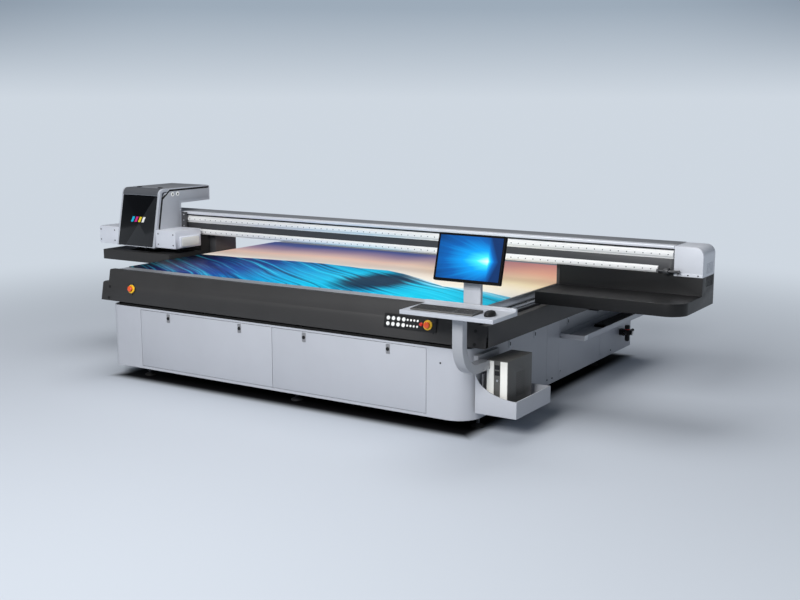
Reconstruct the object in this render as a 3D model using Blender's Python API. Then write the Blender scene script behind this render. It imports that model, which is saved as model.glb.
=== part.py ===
"""Flatbed UV printer: cabinet, vacuum bed, travelling gantry, print carriage and operator station.

Metres, +Z up, +X to the operator's right, +Y away from the operator. Shapes are written in machine
coordinates: x = 0 in the middle of the cabinet, y = 0 at its front face, z = 0 on the floor. One
empty carries everything and puts the origin under the middle of the whole machine.
"""
import math

import bmesh
import bpy
from mathutils import Matrix, Vector

# ---------------------------------------------------------------- driving dimensions
GAP = 0.0003                      # clearance between pieces that touch
CAB_HALF_W = 1.636                # cabinet half width
CAB_DEPTH = 2.916
CAB_BOTTOM = 0.100
CAB_TOP = 0.587
CAB_CORNER_R = 0.170              # front right corner, beside the operator
CAB_CORNER_LEFT = 0.080
SHEET = 0.005                     # cabinet wall
TABLE_Z = 0.857                   # top face of the vacuum bed
BED_HALF_W = 1.646
BED_FRONT = 0.100
BED_BACK = 2.900
MEDIA_HALF_W = 1.642
MEDIA_FRONT = 0.216
MEDIA_BACK = 2.124
MEDIA_T = 0.005
FASCIA_BOTTOM = 0.612
FASCIA_TOP = 0.860
FASCIA_Y_LOW = 0.006
FASCIA_Y_TOP = 0.054
FASCIA_T = 0.008
FASCIA_HALF_W = 1.750
SHOULDER_HALF_W = 1.688
SHOULDER_Z = 0.758
LEAN = math.atan2(FASCIA_Y_TOP - FASCIA_Y_LOW, FASCIA_TOP - FASCIA_BOTTOM)
DOOR_HALF = 1.309                 # doors run from the middle to this x
DOOR_BOTTOM = 0.123
DOOR_TOP = 0.570
DOOR_GAP = 0.0015
DOOR_T = 0.004
LATCH_X = (-1.017, -0.305, 0.292, 1.006)
LATCH_Z = 0.530
RAIL_Z0 = 0.770                   # foot of the Y rails
RAIL_TOP = 0.800
RAIL_X = (1.655, 1.680)
BEAM_LEFT = -2.520
BEAM_RIGHT = 2.580
BEAM_Y = (1.185, 1.430)
BEAM_Z = (1.024, 1.196)
BEAM_WALL = 0.010
COVER_TOP = 1.217
RAIL_UP_Z = (1.125, 1.185)
RAIL_LOW_Z = (1.024, 1.071)
RAIL_FRONT = 1.165
RAIL_STEP = 1.1787
CAP_RIGHT = 2.785
CAP_BOTTOM = 1.010
CAP_R = 0.060
SLAB_FRONT = 0.770
SLAB_BOTTOM = 0.797
SLAB_TOP = 0.883
SLAB_IN = 1.730                   # inner end of both end platforms
SLAB_RIGHT = 2.785
SLAB_LEFT = -2.520
SLAB_CORNER_R = 0.130
PLATE = 0.008                     # platform wall
LEG_X = (1.655, 1.725)
LEG_Y = (1.290, 1.565)
CAR_X = (-2.355, -1.905)          # carriage, parked at the left end
CAR_BOTTOM = 0.935
CAR_TOP = 1.432
CAR_BACK = 1.130
ARM_BACK = 1.505
ARM_BOTTOM = 1.300
CAR_WALL = 0.012
HINGE_Y = 0.965                   # carriage front cover hinge
COVER_BOTTOM_Y = 0.780
COVER_HEEL_Y = 0.866
COVER_HEEL_Z = 1.372
COVER_T = 0.028
LAMP_Y = (0.800, 1.120)
LAMP_TOP = 1.086
TRAY_X = (1.345, 2.010)
TRAY_Y = (-0.390, -0.060)
TRAY_Z = (0.871, 0.897)
ARM_X = (1.655, 1.730)
ARM_Y = (-0.260, -0.200)
BEND_Z = 0.680
BEND_R = 0.220
SHELF_X = (1.640, 1.945)
SHELF_Y = (0.080, 0.600)
SHELF_Z = 0.155
SHELF_LIP = 0.270
SHELF_HORN = 0.435
PC_X = (1.703, 1.860)
PC_Y = (0.120, 0.475)
PC_TOP = 0.520
TROUGH_X = (1.637, 1.835)
TROUGH_Y = (1.420, 2.880)
TROUGH_Z = (0.421, 0.460)
MON_W = 0.480
MON_H = 0.310
MON_T = 0.028
MON_TILT = math.radians(15)
MON_C = (1.682, -0.085, 1.210)
POST_Y = (-0.055, -0.025)
PANEL_X = (0.967, 1.378)
PANEL_T = 0.012
PANEL_Z = (0.678, 0.770)
BUTTON_X = (1.000, 1.041, 1.082, 1.123)
ROW_Z = (0.741, 0.703)
LED_X = (1.155, 1.181, 1.207, 1.233)
BUTTON_R = 0.0155
BUTTON_BORE = 0.0160
ESTOP_X = (-1.412, 1.316)
ESTOP_Z = 0.722
FEET = ((-1.394, 0.168), (1.557, 0.278), (-1.500, 2.450), (1.500, 2.400))
MID_FEET = ((0.085, 0.178), (0.085, 2.750))
REG = (1.700, 2.650)
FOOT_PROFILE = ((0, 0), (0.042, 0), (0.045, 0.004), (0.045, 0.010), (0.020, 0.022), (0.012, 0.026),
                (0.012, 0.070), (0.024, 0.070), (0.024, 0.086), (0.012, 0.086), (0.012, 0.120), (0, 0.120))
X_RANGE = (-2.600, CAP_RIGHT)     # outermost faces of the whole machine
Y_RANGE = (TRAY_Y[0], 2.942)
CENTRE = ((X_RANGE[0] + X_RANGE[1]) / 2, (Y_RANGE[0] + Y_RANGE[1]) / 2)

COLOURS = {
    "light_panel": (0.60, 0.63, 0.69, 0.38, 0.10),
    "dark_panel": (0.055, 0.055, 0.057, 0.50, 0.10),
    "frame_steel": (0.10, 0.10, 0.11, 0.55, 0.30),
    "bed_alu": (0.62, 0.63, 0.66, 0.35, 0.90),
    "print": (0.03, 0.30, 0.60, 0.35, 0.00),
    "rail_white": (0.85, 0.85, 0.86, 0.25, 0.60),
    "rail_steel": (0.45, 0.46, 0.48, 0.25, 1.00),
    "beam_dark": (0.045, 0.045, 0.048, 0.45, 0.20),
    "silver": (0.58, 0.60, 0.65, 0.32, 0.35),
    "gloss_black": (0.012, 0.012, 0.013, 0.12, 0.00),
    "black_plastic": (0.02, 0.02, 0.021, 0.45, 0.00),
    "rubber": (0.02, 0.02, 0.02, 0.80, 0.00),
    "button_white": (0.85, 0.85, 0.83, 0.35, 0.00),
    "estop_red": (0.75, 0.06, 0.03, 0.35, 0.00),
    "pc_dark": (0.06, 0.058, 0.055, 0.45, 0.10),
    "tank": (0.70, 0.70, 0.66, 0.40, 0.00),
}


# ---------------------------------------------------------------- helpers
def clear_scene():
    for ob in list(bpy.data.objects):
        bpy.data.objects.remove(ob, do_unlink=True)


def material(slot):
    found = bpy.data.materials.get(slot)
    if found:
        return found
    red, green, blue, rough, metal = COLOURS[slot]
    mat = bpy.data.materials.new(slot)
    mat.use_nodes = True
    bsdf = mat.node_tree.nodes["Principled BSDF"]
    bsdf.inputs["Base Color"].default_value = (red, green, blue, 1.0)
    bsdf.inputs["Roughness"].default_value = rough
    bsdf.inputs["Metallic"].default_value = metal
    mat.diffuse_color = (red, green, blue, 1.0)
    return mat


def empty(name, at, parent=None):
    ob = bpy.data.objects.new(name, None)
    bpy.context.collection.objects.link(ob)
    ob.location = at
    ob.parent = parent
    return ob


def from_bmesh(bm, name="tmp"):
    bmesh.ops.recalc_face_normals(bm, faces=bm.faces)
    mesh = bpy.data.meshes.new(name)
    bm.to_mesh(mesh)
    bm.free()
    ob = bpy.data.objects.new(name, mesh)
    bpy.context.collection.objects.link(ob)
    return ob


def prism(loop, axis, low, high):
    """Extrude a 2-D outline along an axis. X takes (y, z), Y takes (x, z) and Z takes (x, y)."""
    place = {"X": lambda u, v, w: (w, u, v), "Y": lambda u, v, w: (u, w, v),
             "Z": lambda u, v, w: (u, v, w)}[axis]
    bm = bmesh.new()
    ends = [[bm.verts.new(place(u, v, w)) for u, v in loop] for w in (low, high)]
    for ring in ends:
        bm.faces.new(ring)
    count = len(loop)
    for i in range(count):
        j = (i + 1) % count
        bm.faces.new((ends[0][i], ends[0][j], ends[1][j], ends[1][i]))
    return from_bmesh(bm)


def ring_prism(outer, inner, axis, low, high):
    """Extrude the band between two outlines that have the same number of points."""
    place = {"X": lambda u, v, w: (w, u, v), "Z": lambda u, v, w: (u, v, w)}[axis]
    bm = bmesh.new()
    rings = [[bm.verts.new(place(u, v, w)) for u, v in loop]
             for w in (low, high) for loop in (outer, inner)]
    out_low, in_low, out_high, in_high = rings
    count = len(outer)
    for i in range(count):
        j = (i + 1) % count
        bm.faces.new((out_low[i], out_low[j], out_high[j], out_high[i]))
        bm.faces.new((in_low[i], in_low[j], in_high[j], in_high[i]))
        bm.faces.new((out_low[i], out_low[j], in_low[j], in_low[i]))
        bm.faces.new((out_high[i], out_high[j], in_high[j], in_high[i]))
    return from_bmesh(bm)


def box(x, y, z):
    return prism(rect(x, y), "Z", z[0], z[1])


def rect(u, v):
    return [(u[0], v[0]), (u[1], v[0]), (u[1], v[1]), (u[0], v[1])]


def arc(centre, radius, start, stop, steps):
    """Points on an arc, degrees, both ends included."""
    points = []
    for i in range(steps + 1):
        angle = math.radians(start + (stop - start) * i / steps)
        points.append((centre[0] + radius * math.cos(angle), centre[1] + radius * math.sin(angle)))
    return points


def turned(profile, segments=24):
    """Turn (radius, height) points about Z. The first and last points lie on the axis."""
    bm = bmesh.new()
    first = bm.verts.new((0, 0, profile[0][1]))
    last = bm.verts.new((0, 0, profile[-1][1]))
    rings = []
    for radius, height in profile[1:-1]:
        ring = []
        for i in range(segments):
            angle = 2 * math.pi * i / segments
            ring.append(bm.verts.new((radius * math.cos(angle), radius * math.sin(angle), height)))
        rings.append(ring)
    for i in range(segments):
        j = (i + 1) % segments
        bm.faces.new((first, rings[0][i], rings[0][j]))
        bm.faces.new((last, rings[-1][j], rings[-1][i]))
        for low, high in zip(rings, rings[1:]):
            bm.faces.new((low[i], low[j], high[j], high[i]))
    return from_bmesh(bm)


def rod(radius, low, high, segments=24):
    return turned([(0, low), (radius, low), (radius, high), (0, high)], segments)


def moved(ob, matrix):
    ob.data.transform(matrix)
    return ob


def along(axis, at=(0, 0, 0)):
    """Turns a +Z shape so that it runs along axis, then moves it."""
    turn = Vector((0, 0, 1)).rotation_difference(Vector(axis)).to_matrix().to_4x4()
    return Matrix.Translation(at) @ turn


def blocks(solids, holes=()):
    """One closed body from axis-aligned boxes: their union, less the boxes in holes."""
    cuts = []
    for k in range(3):
        cuts.append(sorted({round(value, 6) for item in list(solids) + list(holes) for value in item[k]}))
    mid = [[(a + b) / 2 for a, b in zip(line, line[1:])] for line in cuts]

    def inside(point, items):
        return any(all(item[k][0] < point[k] < item[k][1] for k in range(3)) for item in items)

    size = [len(line) for line in mid]
    full = {(i, j, k) for i in range(size[0]) for j in range(size[1]) for k in range(size[2])
            if inside((mid[0][i], mid[1][j], mid[2][k]), solids)
            and not inside((mid[0][i], mid[1][j], mid[2][k]), holes)}
    bm = bmesh.new()
    verts = {}

    def vert(key):
        if key not in verts:
            verts[key] = bm.verts.new([cuts[axis][key[axis]] for axis in range(3)])
        return verts[key]

    for cell in full:
        for axis in range(3):
            for side in (0, 1):
                near = list(cell)
                near[axis] += 1 if side else -1
                if tuple(near) in full:
                    continue
                b, c = (axis + 1) % 3, (axis + 2) % 3
                corners = []
                for db, dc in ((0, 0), (1, 0), (1, 1), (0, 1)):
                    key = list(cell)
                    key[axis] += side
                    key[b] += db
                    key[c] += dc
                    corners.append(vert(tuple(key)))
                bm.faces.new(corners if side else corners[::-1])
    bmesh.ops.dissolve_limit(bm, angle_limit=0.001, verts=bm.verts, edges=bm.edges)
    return from_bmesh(bm)


def combine(base, others, operation):
    """Boolean base with each of others, apply it and remove them."""
    for other in others:
        mod = base.modifiers.new("cut", "BOOLEAN")
        mod.operation = operation
        mod.solver = "EXACT"
        mod.object = other
        graph = bpy.context.evaluated_depsgraph_get()
        mesh = bpy.data.meshes.new_from_object(base.evaluated_get(graph))
        base.modifiers.clear()
        base.data = mesh
        bpy.data.objects.remove(other, do_unlink=True)
    return base


def union(base, *others):
    return combine(base, others, "UNION")


def cut(base, *others):
    return combine(base, others, "DIFFERENCE")


def finish(ob, name, slot, parent, at=(0, 0, 0), smooth=False):
    """Name a solid, give it its material and hang it on its body's empty, origin at that empty."""
    ob.name = name
    ob.data.name = name
    ob.data.materials.clear()
    ob.data.materials.append(material(slot))
    ob.data.transform(Matrix.Translation(-Vector(at)))
    ob.parent = parent
    if smooth:
        ob.data.shade_smooth()
        ob.data.set_sharp_from_angle(angle=math.radians(35))
    return ob


def fascia_y(z):
    return FASCIA_Y_LOW + (z - FASCIA_BOTTOM) * math.tan(LEAN)


def on_fascia(x, z):
    """Matrix from face coordinates (+Z out of the leaning fascia, X along it) to machine ones."""
    outward = Vector((0, -math.cos(LEAN), math.sin(LEAN)))
    across = Vector((1, 0, 0))
    up = outward.cross(across)
    turn = Matrix((across, up, outward)).transposed().to_4x4()
    return Matrix.Translation((x, fascia_y(z), z)) @ turn


# ---------------------------------------------------------------- cabinet and bed
def base_frame(root):
    """Welded frame: foot ring with two middle feet, posts, rail ledges and the floor pan."""
    low, high = CAB_BOTTOM, CAB_TOP + 0.013
    side, front, back = 1.600, 0.060, 2.850
    wide, web, tall = 0.180, 0.010, 0.060
    mid_y = (front + back) / 2
    parts = [((-side, side), (front, back), (low, low + 0.004))]
    for y in (front, front + wide, back - wide, back - web):
        parts.append(((-side, side), (y, y + web), (low, low + tall)))
    for x in (-side, -side + wide, 0.0, wide, side - wide, side - web):
        parts.append(((x, x + web), (front, back), (low, low + tall)))
    for x in (-side, -0.030, side - 0.060):
        for y in (front, mid_y - 0.030, back - 0.060):
            parts.append(((x, x + 0.060), (y, y + 0.060), (low, high)))
    for sign in (-1, 1):
        wall = sorted((sign * 1.560, sign * 1.572))
        ledge = sorted((sign * 1.560, sign * 1.686))
        foot = sorted((sign * 1.540, sign * 1.600))
        parts.append((wall, (front, back + 0.030), (high - 0.002, RAIL_Z0 - GAP)))
        parts.append((ledge, (front, back + 0.030), (RAIL_Z0 - 0.012, RAIL_Z0 - GAP)))
        parts.append((foot, (front, back), (high - 0.010, high)))
    for y in (front + 0.060, mid_y, back - 0.020):
        parts.append(((-1.572, 1.572), (y - 0.020, y), (high - 0.002, 0.700)))
    mids = [moved(turned(FOOT_PROFILE, 16), Matrix.Translation((x, y, 0))) for x, y in MID_FEET]
    corners = [(sorted((sign * side, sign * (side - 0.055))), (front, front + 0.055), (low, high))
               for sign in (-1, 1)]
    finish(union(blocks(parts, corners), *mids), "base_frame", "frame_steel", root)


def cabinet_shell(root):
    """Sheet-metal skirt of the cabinet: a closed band with the door opening cut out."""
    w, d, r, left_r = CAB_HALF_W, CAB_DEPTH, CAB_CORNER_R, CAB_CORNER_LEFT

    def outline(inset):
        rear = 0.030 - inset
        points = arc((-w + left_r, left_r), left_r - inset, 180, 270, 8)
        points += arc((w - r, r), r - inset, 270, 360, 8)
        points += arc((w - 0.030, d - 0.030), rear, 0, 90, 3)
        points += arc((-w + 0.030, d - 0.030), rear, 90, 180, 3)
        return points

    shell = ring_prism(outline(0.0), outline(SHEET), "Z", CAB_BOTTOM, CAB_TOP)
    door = box((-DOOR_HALF - 0.003, DOOR_HALF + 0.003), (-0.1, 0.1), (DOOR_BOTTOM - 0.003, DOOR_TOP + 0.003))
    finish(cut(shell, door), "cabinet_shell", "light_panel", root, smooth=True)


def front_fascia(root):
    """Leaning dark front panel with stepped shoulders, return flanges and the left stop's collar."""
    w, s = FASCIA_HALF_W, SHOULDER_HALF_W
    right = [(w, FASCIA_BOTTOM)] + arc((w - 0.012, SHOULDER_Z - 0.012), 0.012, 0, 90, 3)
    right += [(s, SHOULDER_Z)] + arc((s - 0.012, FASCIA_TOP - 0.012), 0.012, 0, 90, 3)
    outline = right + [(-x, z) for x, z in reversed(right)]
    plate = prism(outline, "Y", 0.0, FASCIA_T)
    for vert in plate.data.vertices:
        vert.co.y += fascia_y(vert.co.z)
    top = box((-s + 0.012, s - 0.012), (FASCIA_Y_TOP + 0.004, BED_FRONT - 0.002), (FASCIA_TOP - 0.012, FASCIA_TOP))
    foot = box((-w, w), (FASCIA_Y_LOW + 0.006, 0.050), (FASCIA_BOTTOM, FASCIA_BOTTOM + 0.006))
    collar = moved(rod(0.033, -0.004, 0.022, 28), on_fascia(ESTOP_X[0], ESTOP_Z))
    bore = moved(rod(0.0104, -0.06, 0.06, 20), on_fascia(ESTOP_X[0], ESTOP_Z))
    plate = cut(union(plate, top, foot, collar), bore)
    finish(plate, "front_fascia", "dark_panel", root)


def side_skirt(root):
    """Dark skirt round the two sides and the back, open above the rail troughs."""
    w, s, y0, y1, t = FASCIA_HALF_W, SHOULDER_HALF_W, 0.050, Y_RANGE[1], 0.005
    parts = [((-w, w), (y1 - t, y1), (FASCIA_BOTTOM, SHOULDER_Z)),
             ((-1.600, 1.600), (y1 - t, y1), (FASCIA_BOTTOM, 0.855))]
    for sign in (-1, 1):
        wall = sorted((sign * w, sign * (w - t)))
        shelf = sorted((sign * w, sign * (s + GAP)))
        parts.append((wall, (y0, y1), (FASCIA_BOTTOM, SHOULDER_Z)))
        parts.append((shelf, (y0, y1), (SHOULDER_Z - t, SHOULDER_Z)))
        parts.append((shelf, (y0, y1), (FASCIA_BOTTOM, FASCIA_BOTTOM + t)))
    finish(blocks(parts), "side_skirt", "dark_panel", root)


def bed_table(root):
    """Vacuum bed: top plate, edge walls and ribs, open below where the frame carries it."""
    w, y0, y1, top, low = BED_HALF_W, BED_FRONT, BED_BACK, TABLE_Z, RAIL_Z0
    parts = [((-w, w), (y0, y1), (top - 0.012, top)),
             ((-w, w), (y0, y0 + 0.012), (low, top)),
             ((-w, w), (y1 - 0.012, y1), (low, top)),
             ((-w, -w + 0.012), (y0, y1), (low, top)),
             ((w - 0.012, w), (y0, y1), (low, top))]
    parts.append(((-0.006, 0.006), (y0, y1), (low, top)))
    parts.append(((-w, w), (1.494, 1.506), (low, top)))
    finish(blocks(parts), "bed_table", "bed_alu", root)


def printed_board(root):
    board = box((-MEDIA_HALF_W, MEDIA_HALF_W), (MEDIA_FRONT, MEDIA_BACK),
                (TABLE_Z + GAP, TABLE_Z + GAP + MEDIA_T))
    finish(board, "printed_board", "print", root)


def y_rails(root):
    """Linear rails beside the bed, one each side, with the usual waisted section."""
    x0, x1 = RAIL_X
    for name, sign in (("y_rail_left", -1), ("y_rail_right", 1)):
        outline = [(x0, RAIL_Z0), (x1, RAIL_Z0), (x1, RAIL_Z0 + 0.010), (x1 - 0.004, RAIL_Z0 + 0.015),
                   (x1, RAIL_Z0 + 0.020), (x1, RAIL_TOP), (x0, RAIL_TOP), (x0, RAIL_Z0 + 0.020),
                   (x0 + 0.004, RAIL_Z0 + 0.015), (x0, RAIL_Z0 + 0.010)]
        rail = prism([(sign * x, z) for x, z in outline], "Y", 0.120, 2.860)
        finish(rail, name, "rail_steel", root)


def feet(root):
    """Levelling feet at the corners: pad, stem and lock nut, each turned in one piece."""
    profile = [(r, min(z, CAB_BOTTOM - GAP)) for r, z in FOOT_PROFILE]
    for number, (x, y) in enumerate(FEET, start=1):
        at = empty(f"foot_{number}_seat", (x, y, 0), root)
        finish(turned(profile, 16), f"foot_{number}", "rubber", at, smooth=True)


# ---------------------------------------------------------------- doors, latches and controls
def doors(root):
    """Two drop-down doors, hinged along the bottom edge, each with two quarter-turn latches."""
    hinge_at = (0.0, 0.0, DOOR_BOTTOM)
    spans = {"door_left": (-DOOR_HALF, -DOOR_GAP), "door_right": (DOOR_GAP, DOOR_HALF)}
    for name, span in spans.items():
        pan = box(span, (0.0, DOOR_T), (DOOR_BOTTOM, DOOR_TOP))
        mine = [(i, x) for i, x in enumerate(LATCH_X, start=1) if span[0] < x < span[1]]
        for _, x in mine:
            pad = box((x - 0.016, x + 0.016), (-0.003, 0.002), (LATCH_Z - 0.034, LATCH_Z + 0.034))
            bore = moved(rod(0.0088, -0.05, 0.05), along((0, 1, 0), (x, 0, LATCH_Z)))
            pan = cut(union(pan, pad), bore)
        hinge = empty(name + "_hinge", hinge_at, root)
        finish(pan, name, "light_panel", hinge, hinge_at)
        for i, x in mine:
            pivot = empty(f"latch_{i}_pivot", (x, 0.0, LATCH_Z - DOOR_BOTTOM), hinge)
            core = turned([(0, -0.009), (0.0125, -0.009), (0.0125, -0.0034), (0.0085, -0.0034),
                           (0.0085, 0.024), (0, 0.024)], 20)
            cam = box((-0.006, 0.050), (-0.007, 0.007), (0.018, 0.024))
            core = moved(union(core, cam), along((0, 1, 0)))
            finish(core, f"latch_{i}", "black_plastic", pivot, smooth=True)


def control_panel(root):
    """Panel with eight button bores, eight indicator lenses, a signal lamp and the stop collar."""
    mid_x = (PANEL_X[0] + PANEL_X[1]) / 2
    mid_z = (PANEL_Z[0] + PANEL_Z[1]) / 2
    half = ((PANEL_X[1] - PANEL_X[0]) / 2, (PANEL_Z[1] - PANEL_Z[0]) / 2 / math.cos(LEAN))
    plate = box((-half[0], half[0]), (-half[1], half[1]), (GAP, GAP + PANEL_T))

    def up(z):
        return (z - mid_z) / math.cos(LEAN)

    adds = []
    for z in ROW_Z:
        for x in LED_X:
            lens = rod(0.0085, 0.004, PANEL_T + 0.003, 12)
            adds.append(moved(lens, Matrix.Translation((x - mid_x, up(z), 0))))
    lamp = turned([(0, 0.004), (0.013, 0.004), (0.013, 0.018), (0.009, 0.024), (0, 0.026)], 16)
    adds.append(moved(lamp, Matrix.Translation((1.262 - mid_x, up(ESTOP_Z), 0))))
    collar = rod(0.033, 0.004, PANEL_T + 0.010, 28)
    adds.append(moved(collar, Matrix.Translation((ESTOP_X[1] - mid_x, up(ESTOP_Z), 0))))
    cuts = []
    for z in ROW_Z:
        for x in BUTTON_X:
            bore = rod(BUTTON_BORE, -0.02, 0.05, 20)
            cuts.append(moved(bore, Matrix.Translation((x - mid_x, up(z), 0))))
    stem = rod(0.0104, -0.02, 0.06, 20)
    cuts.append(moved(stem, Matrix.Translation((ESTOP_X[1] - mid_x, up(ESTOP_Z), 0))))
    plate = cut(union(plate, *adds), *cuts)
    finish(moved(plate, on_fascia(mid_x, mid_z)), "control_panel", "black_plastic", root)
    for row, z in enumerate(ROW_Z):
        for col, x in enumerate(BUTTON_X):
            number = row * len(BUTTON_X) + col + 1
            seat = empty(f"button_{number}_seat", (0, 0, 0), root)
            seat.matrix_local = on_fascia(x, z)
            cap = turned([(0, 0.006), (BUTTON_R, 0.006), (BUTTON_R, 0.0150), (BUTTON_R - 0.0015, 0.0165),
                          (0, 0.0165)], 20)
            finish(cap, f"button_{number}", "button_white", seat, smooth=True)


def emergency_stops(root):
    """Mushroom stop buttons in the collars of the fascia and of the control panel."""
    for name, x in (("estop_left", ESTOP_X[0]), ("estop_right", ESTOP_X[1])):
        seat = empty(name + "_seat", (0, 0, 0), root)
        seat.matrix_local = on_fascia(x, ESTOP_Z)
        head = turned([(0, 0.008), (0.010, 0.008), (0.010, 0.030), (0.021, 0.030), (0.0225, 0.034),
                       (0.0215, 0.042), (0.015, 0.046), (0, 0.046)], 24)
        finish(head, name, "estop_red", seat, smooth=True)


# ---------------------------------------------------------------- things on the cabinet's right side
def cable_trough(root):
    x, y, z, t = TROUGH_X, TROUGH_Y, TROUGH_Z, 0.004
    tray = blocks([(x, y, z)], [((x[0] + t, x[1] - t), (y[0] + t, y[1] - t), (z[0] + t, z[1] + 0.1))])
    finish(tray, "cable_trough", "light_panel", root)


def y_drag_chain(root):
    """Cable carrier lying in the trough, with its loop and upper run."""
    low = TROUGH_Z[0] + 0.004 + GAP
    thick, radius, loop_y = 0.024, 0.080, 2.600
    centre = low + radius + thick / 2
    outer = arc((loop_y, centre), radius + thick / 2, -90, 90, 12)
    inner = arc((loop_y, centre), radius - thick / 2, 90, -90, 12)
    start, end = 1.950, 1.780
    outline = [(start, low)] + outer + [(end, outer[-1][1]), (end, inner[0][1])] + inner
    outline.append((start, low + thick))
    finish(prism(outline, "X", 1.690, 1.785), "y_drag_chain", "black_plastic", root)


def air_regulator(root):
    """Air inlet regulator: body with bowl, gauge and outlet, and a turning knob on top."""
    x, y = REG
    body = box((CAB_HALF_W + GAP, x + 0.024), (y - 0.024, y + 0.024), (0.235, 0.284))
    bowl = moved(turned([(0, 0.185), (0.014, 0.185), (0.020, 0.195), (0.020, 0.240), (0, 0.240)], 18),
                 Matrix.Translation((x, y, 0)))
    outlet = moved(rod(0.013, -0.090, 0.130, 16), along((0, 1, 0), (x, y, 0.258)))
    gauge = moved(rod(0.019, 0.0, 0.048, 18), along((1, 0, 0), (x, y + 0.001, 0.2585)))
    finish(union(body, bowl, outlet, gauge), "regulator_body", "black_plastic", root)
    spindle = empty("regulator_spindle", (x, y, 0.284), root)
    knob = turned([(0, GAP), (0.018, GAP), (0.018, 0.006), (0.022, 0.007), (0.022, 0.032), (0.019, 0.038),
                   (0, 0.038)], 18)
    finish(knob, "regulator_knob", "black_plastic", spindle, smooth=True)


# ---------------------------------------------------------------- inside the cabinet
def internals(root):
    """Vacuum blower with its riser to the bed, and the control electronics box."""
    drum = moved(rod(0.150, -0.14, 0.14, 24), along((0, 1, 0), (0.85, 1.10, 0.340)))
    motor = moved(rod(0.095, -0.36, -0.10, 20), along((0, 1, 0), (0.85, 1.10, 0.340)))
    foot = box((0.74, 0.96), (0.78, 1.20), (CAB_BOTTOM + 0.004 + GAP, 0.24))
    riser = rod(0.050, 0.40, 0.740, 20)
    riser = moved(riser, Matrix.Translation((0.92, 1.16, 0)))
    finish(union(drum, motor, foot, riser), "vacuum_blower", "bed_alu", root, smooth=True)
    case = blocks([((-1.15, -0.45), (0.55, 0.95), (CAB_BOTTOM + 0.004 + GAP, 0.540))],
                  [((-1.14, -0.46), (0.40, 0.94), (0.120, 0.530))])
    finish(case, "electronics_box", "light_panel", root)


# ---------------------------------------------------------------- gantry
def gantry(body):
    beam = ring_prism(rect(BEAM_Y, BEAM_Z),
                      rect((BEAM_Y[0] + BEAM_WALL, BEAM_Y[1] - BEAM_WALL),
                           (BEAM_Z[0] + BEAM_WALL, BEAM_Z[1] - BEAM_WALL)),
                      "X", BEAM_LEFT, BEAM_RIGHT)
    finish(union(beam, bumper()), "beam", "beam_dark", body)
    low = BEAM_Z[1] + GAP
    top = [(1.170, low), (BEAM_Y[1], low), (BEAM_Y[1], COVER_TOP)]
    top += arc((1.176, COVER_TOP - 0.006), 0.006, 90, 180, 4)
    finish(prism(top, "X", BEAM_LEFT, BEAM_RIGHT), "beam_cover", "silver", body)
    x_rail(body, "x_rail_upper", RAIL_UP_Z, BEAM_RIGHT - 0.005)
    x_rail(body, "x_rail_lower", RAIL_LOW_Z, 2.468)
    end_cap(body)
    end_platforms(body)
    gantry_legs(body)
    capping_tray(body)


def x_rail(body, name, z, right):
    """Rail strip: a flat foot on the beam's face and a raised running bar along its middle."""
    mid = (z[0] + z[1]) / 2
    back = BEAM_Y[0] - GAP
    outline = [(back, z[0]), (back, z[1]), (RAIL_STEP, z[1]), (RAIL_STEP, mid + 0.014),
               (RAIL_FRONT, mid + 0.014), (RAIL_FRONT, mid - 0.014), (RAIL_STEP, mid - 0.014),
               (RAIL_STEP, z[0])]
    finish(prism(outline, "X", BEAM_LEFT, right), name, "rail_white", body)


def end_cap(body):
    """Rounded cap on the beam's right end."""
    left, right = BEAM_RIGHT + 0.003, CAP_RIGHT
    outline = [(left, CAP_BOTTOM), (right, CAP_BOTTOM)]
    outline += arc((right - CAP_R, 1.215 - CAP_R), CAP_R, 0, 90, 8) + [(left, 1.215)]
    finish(prism(outline, "Y", 1.170, BEAM_Y[1]), "end_cap", "silver", body, smooth=True)


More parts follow.
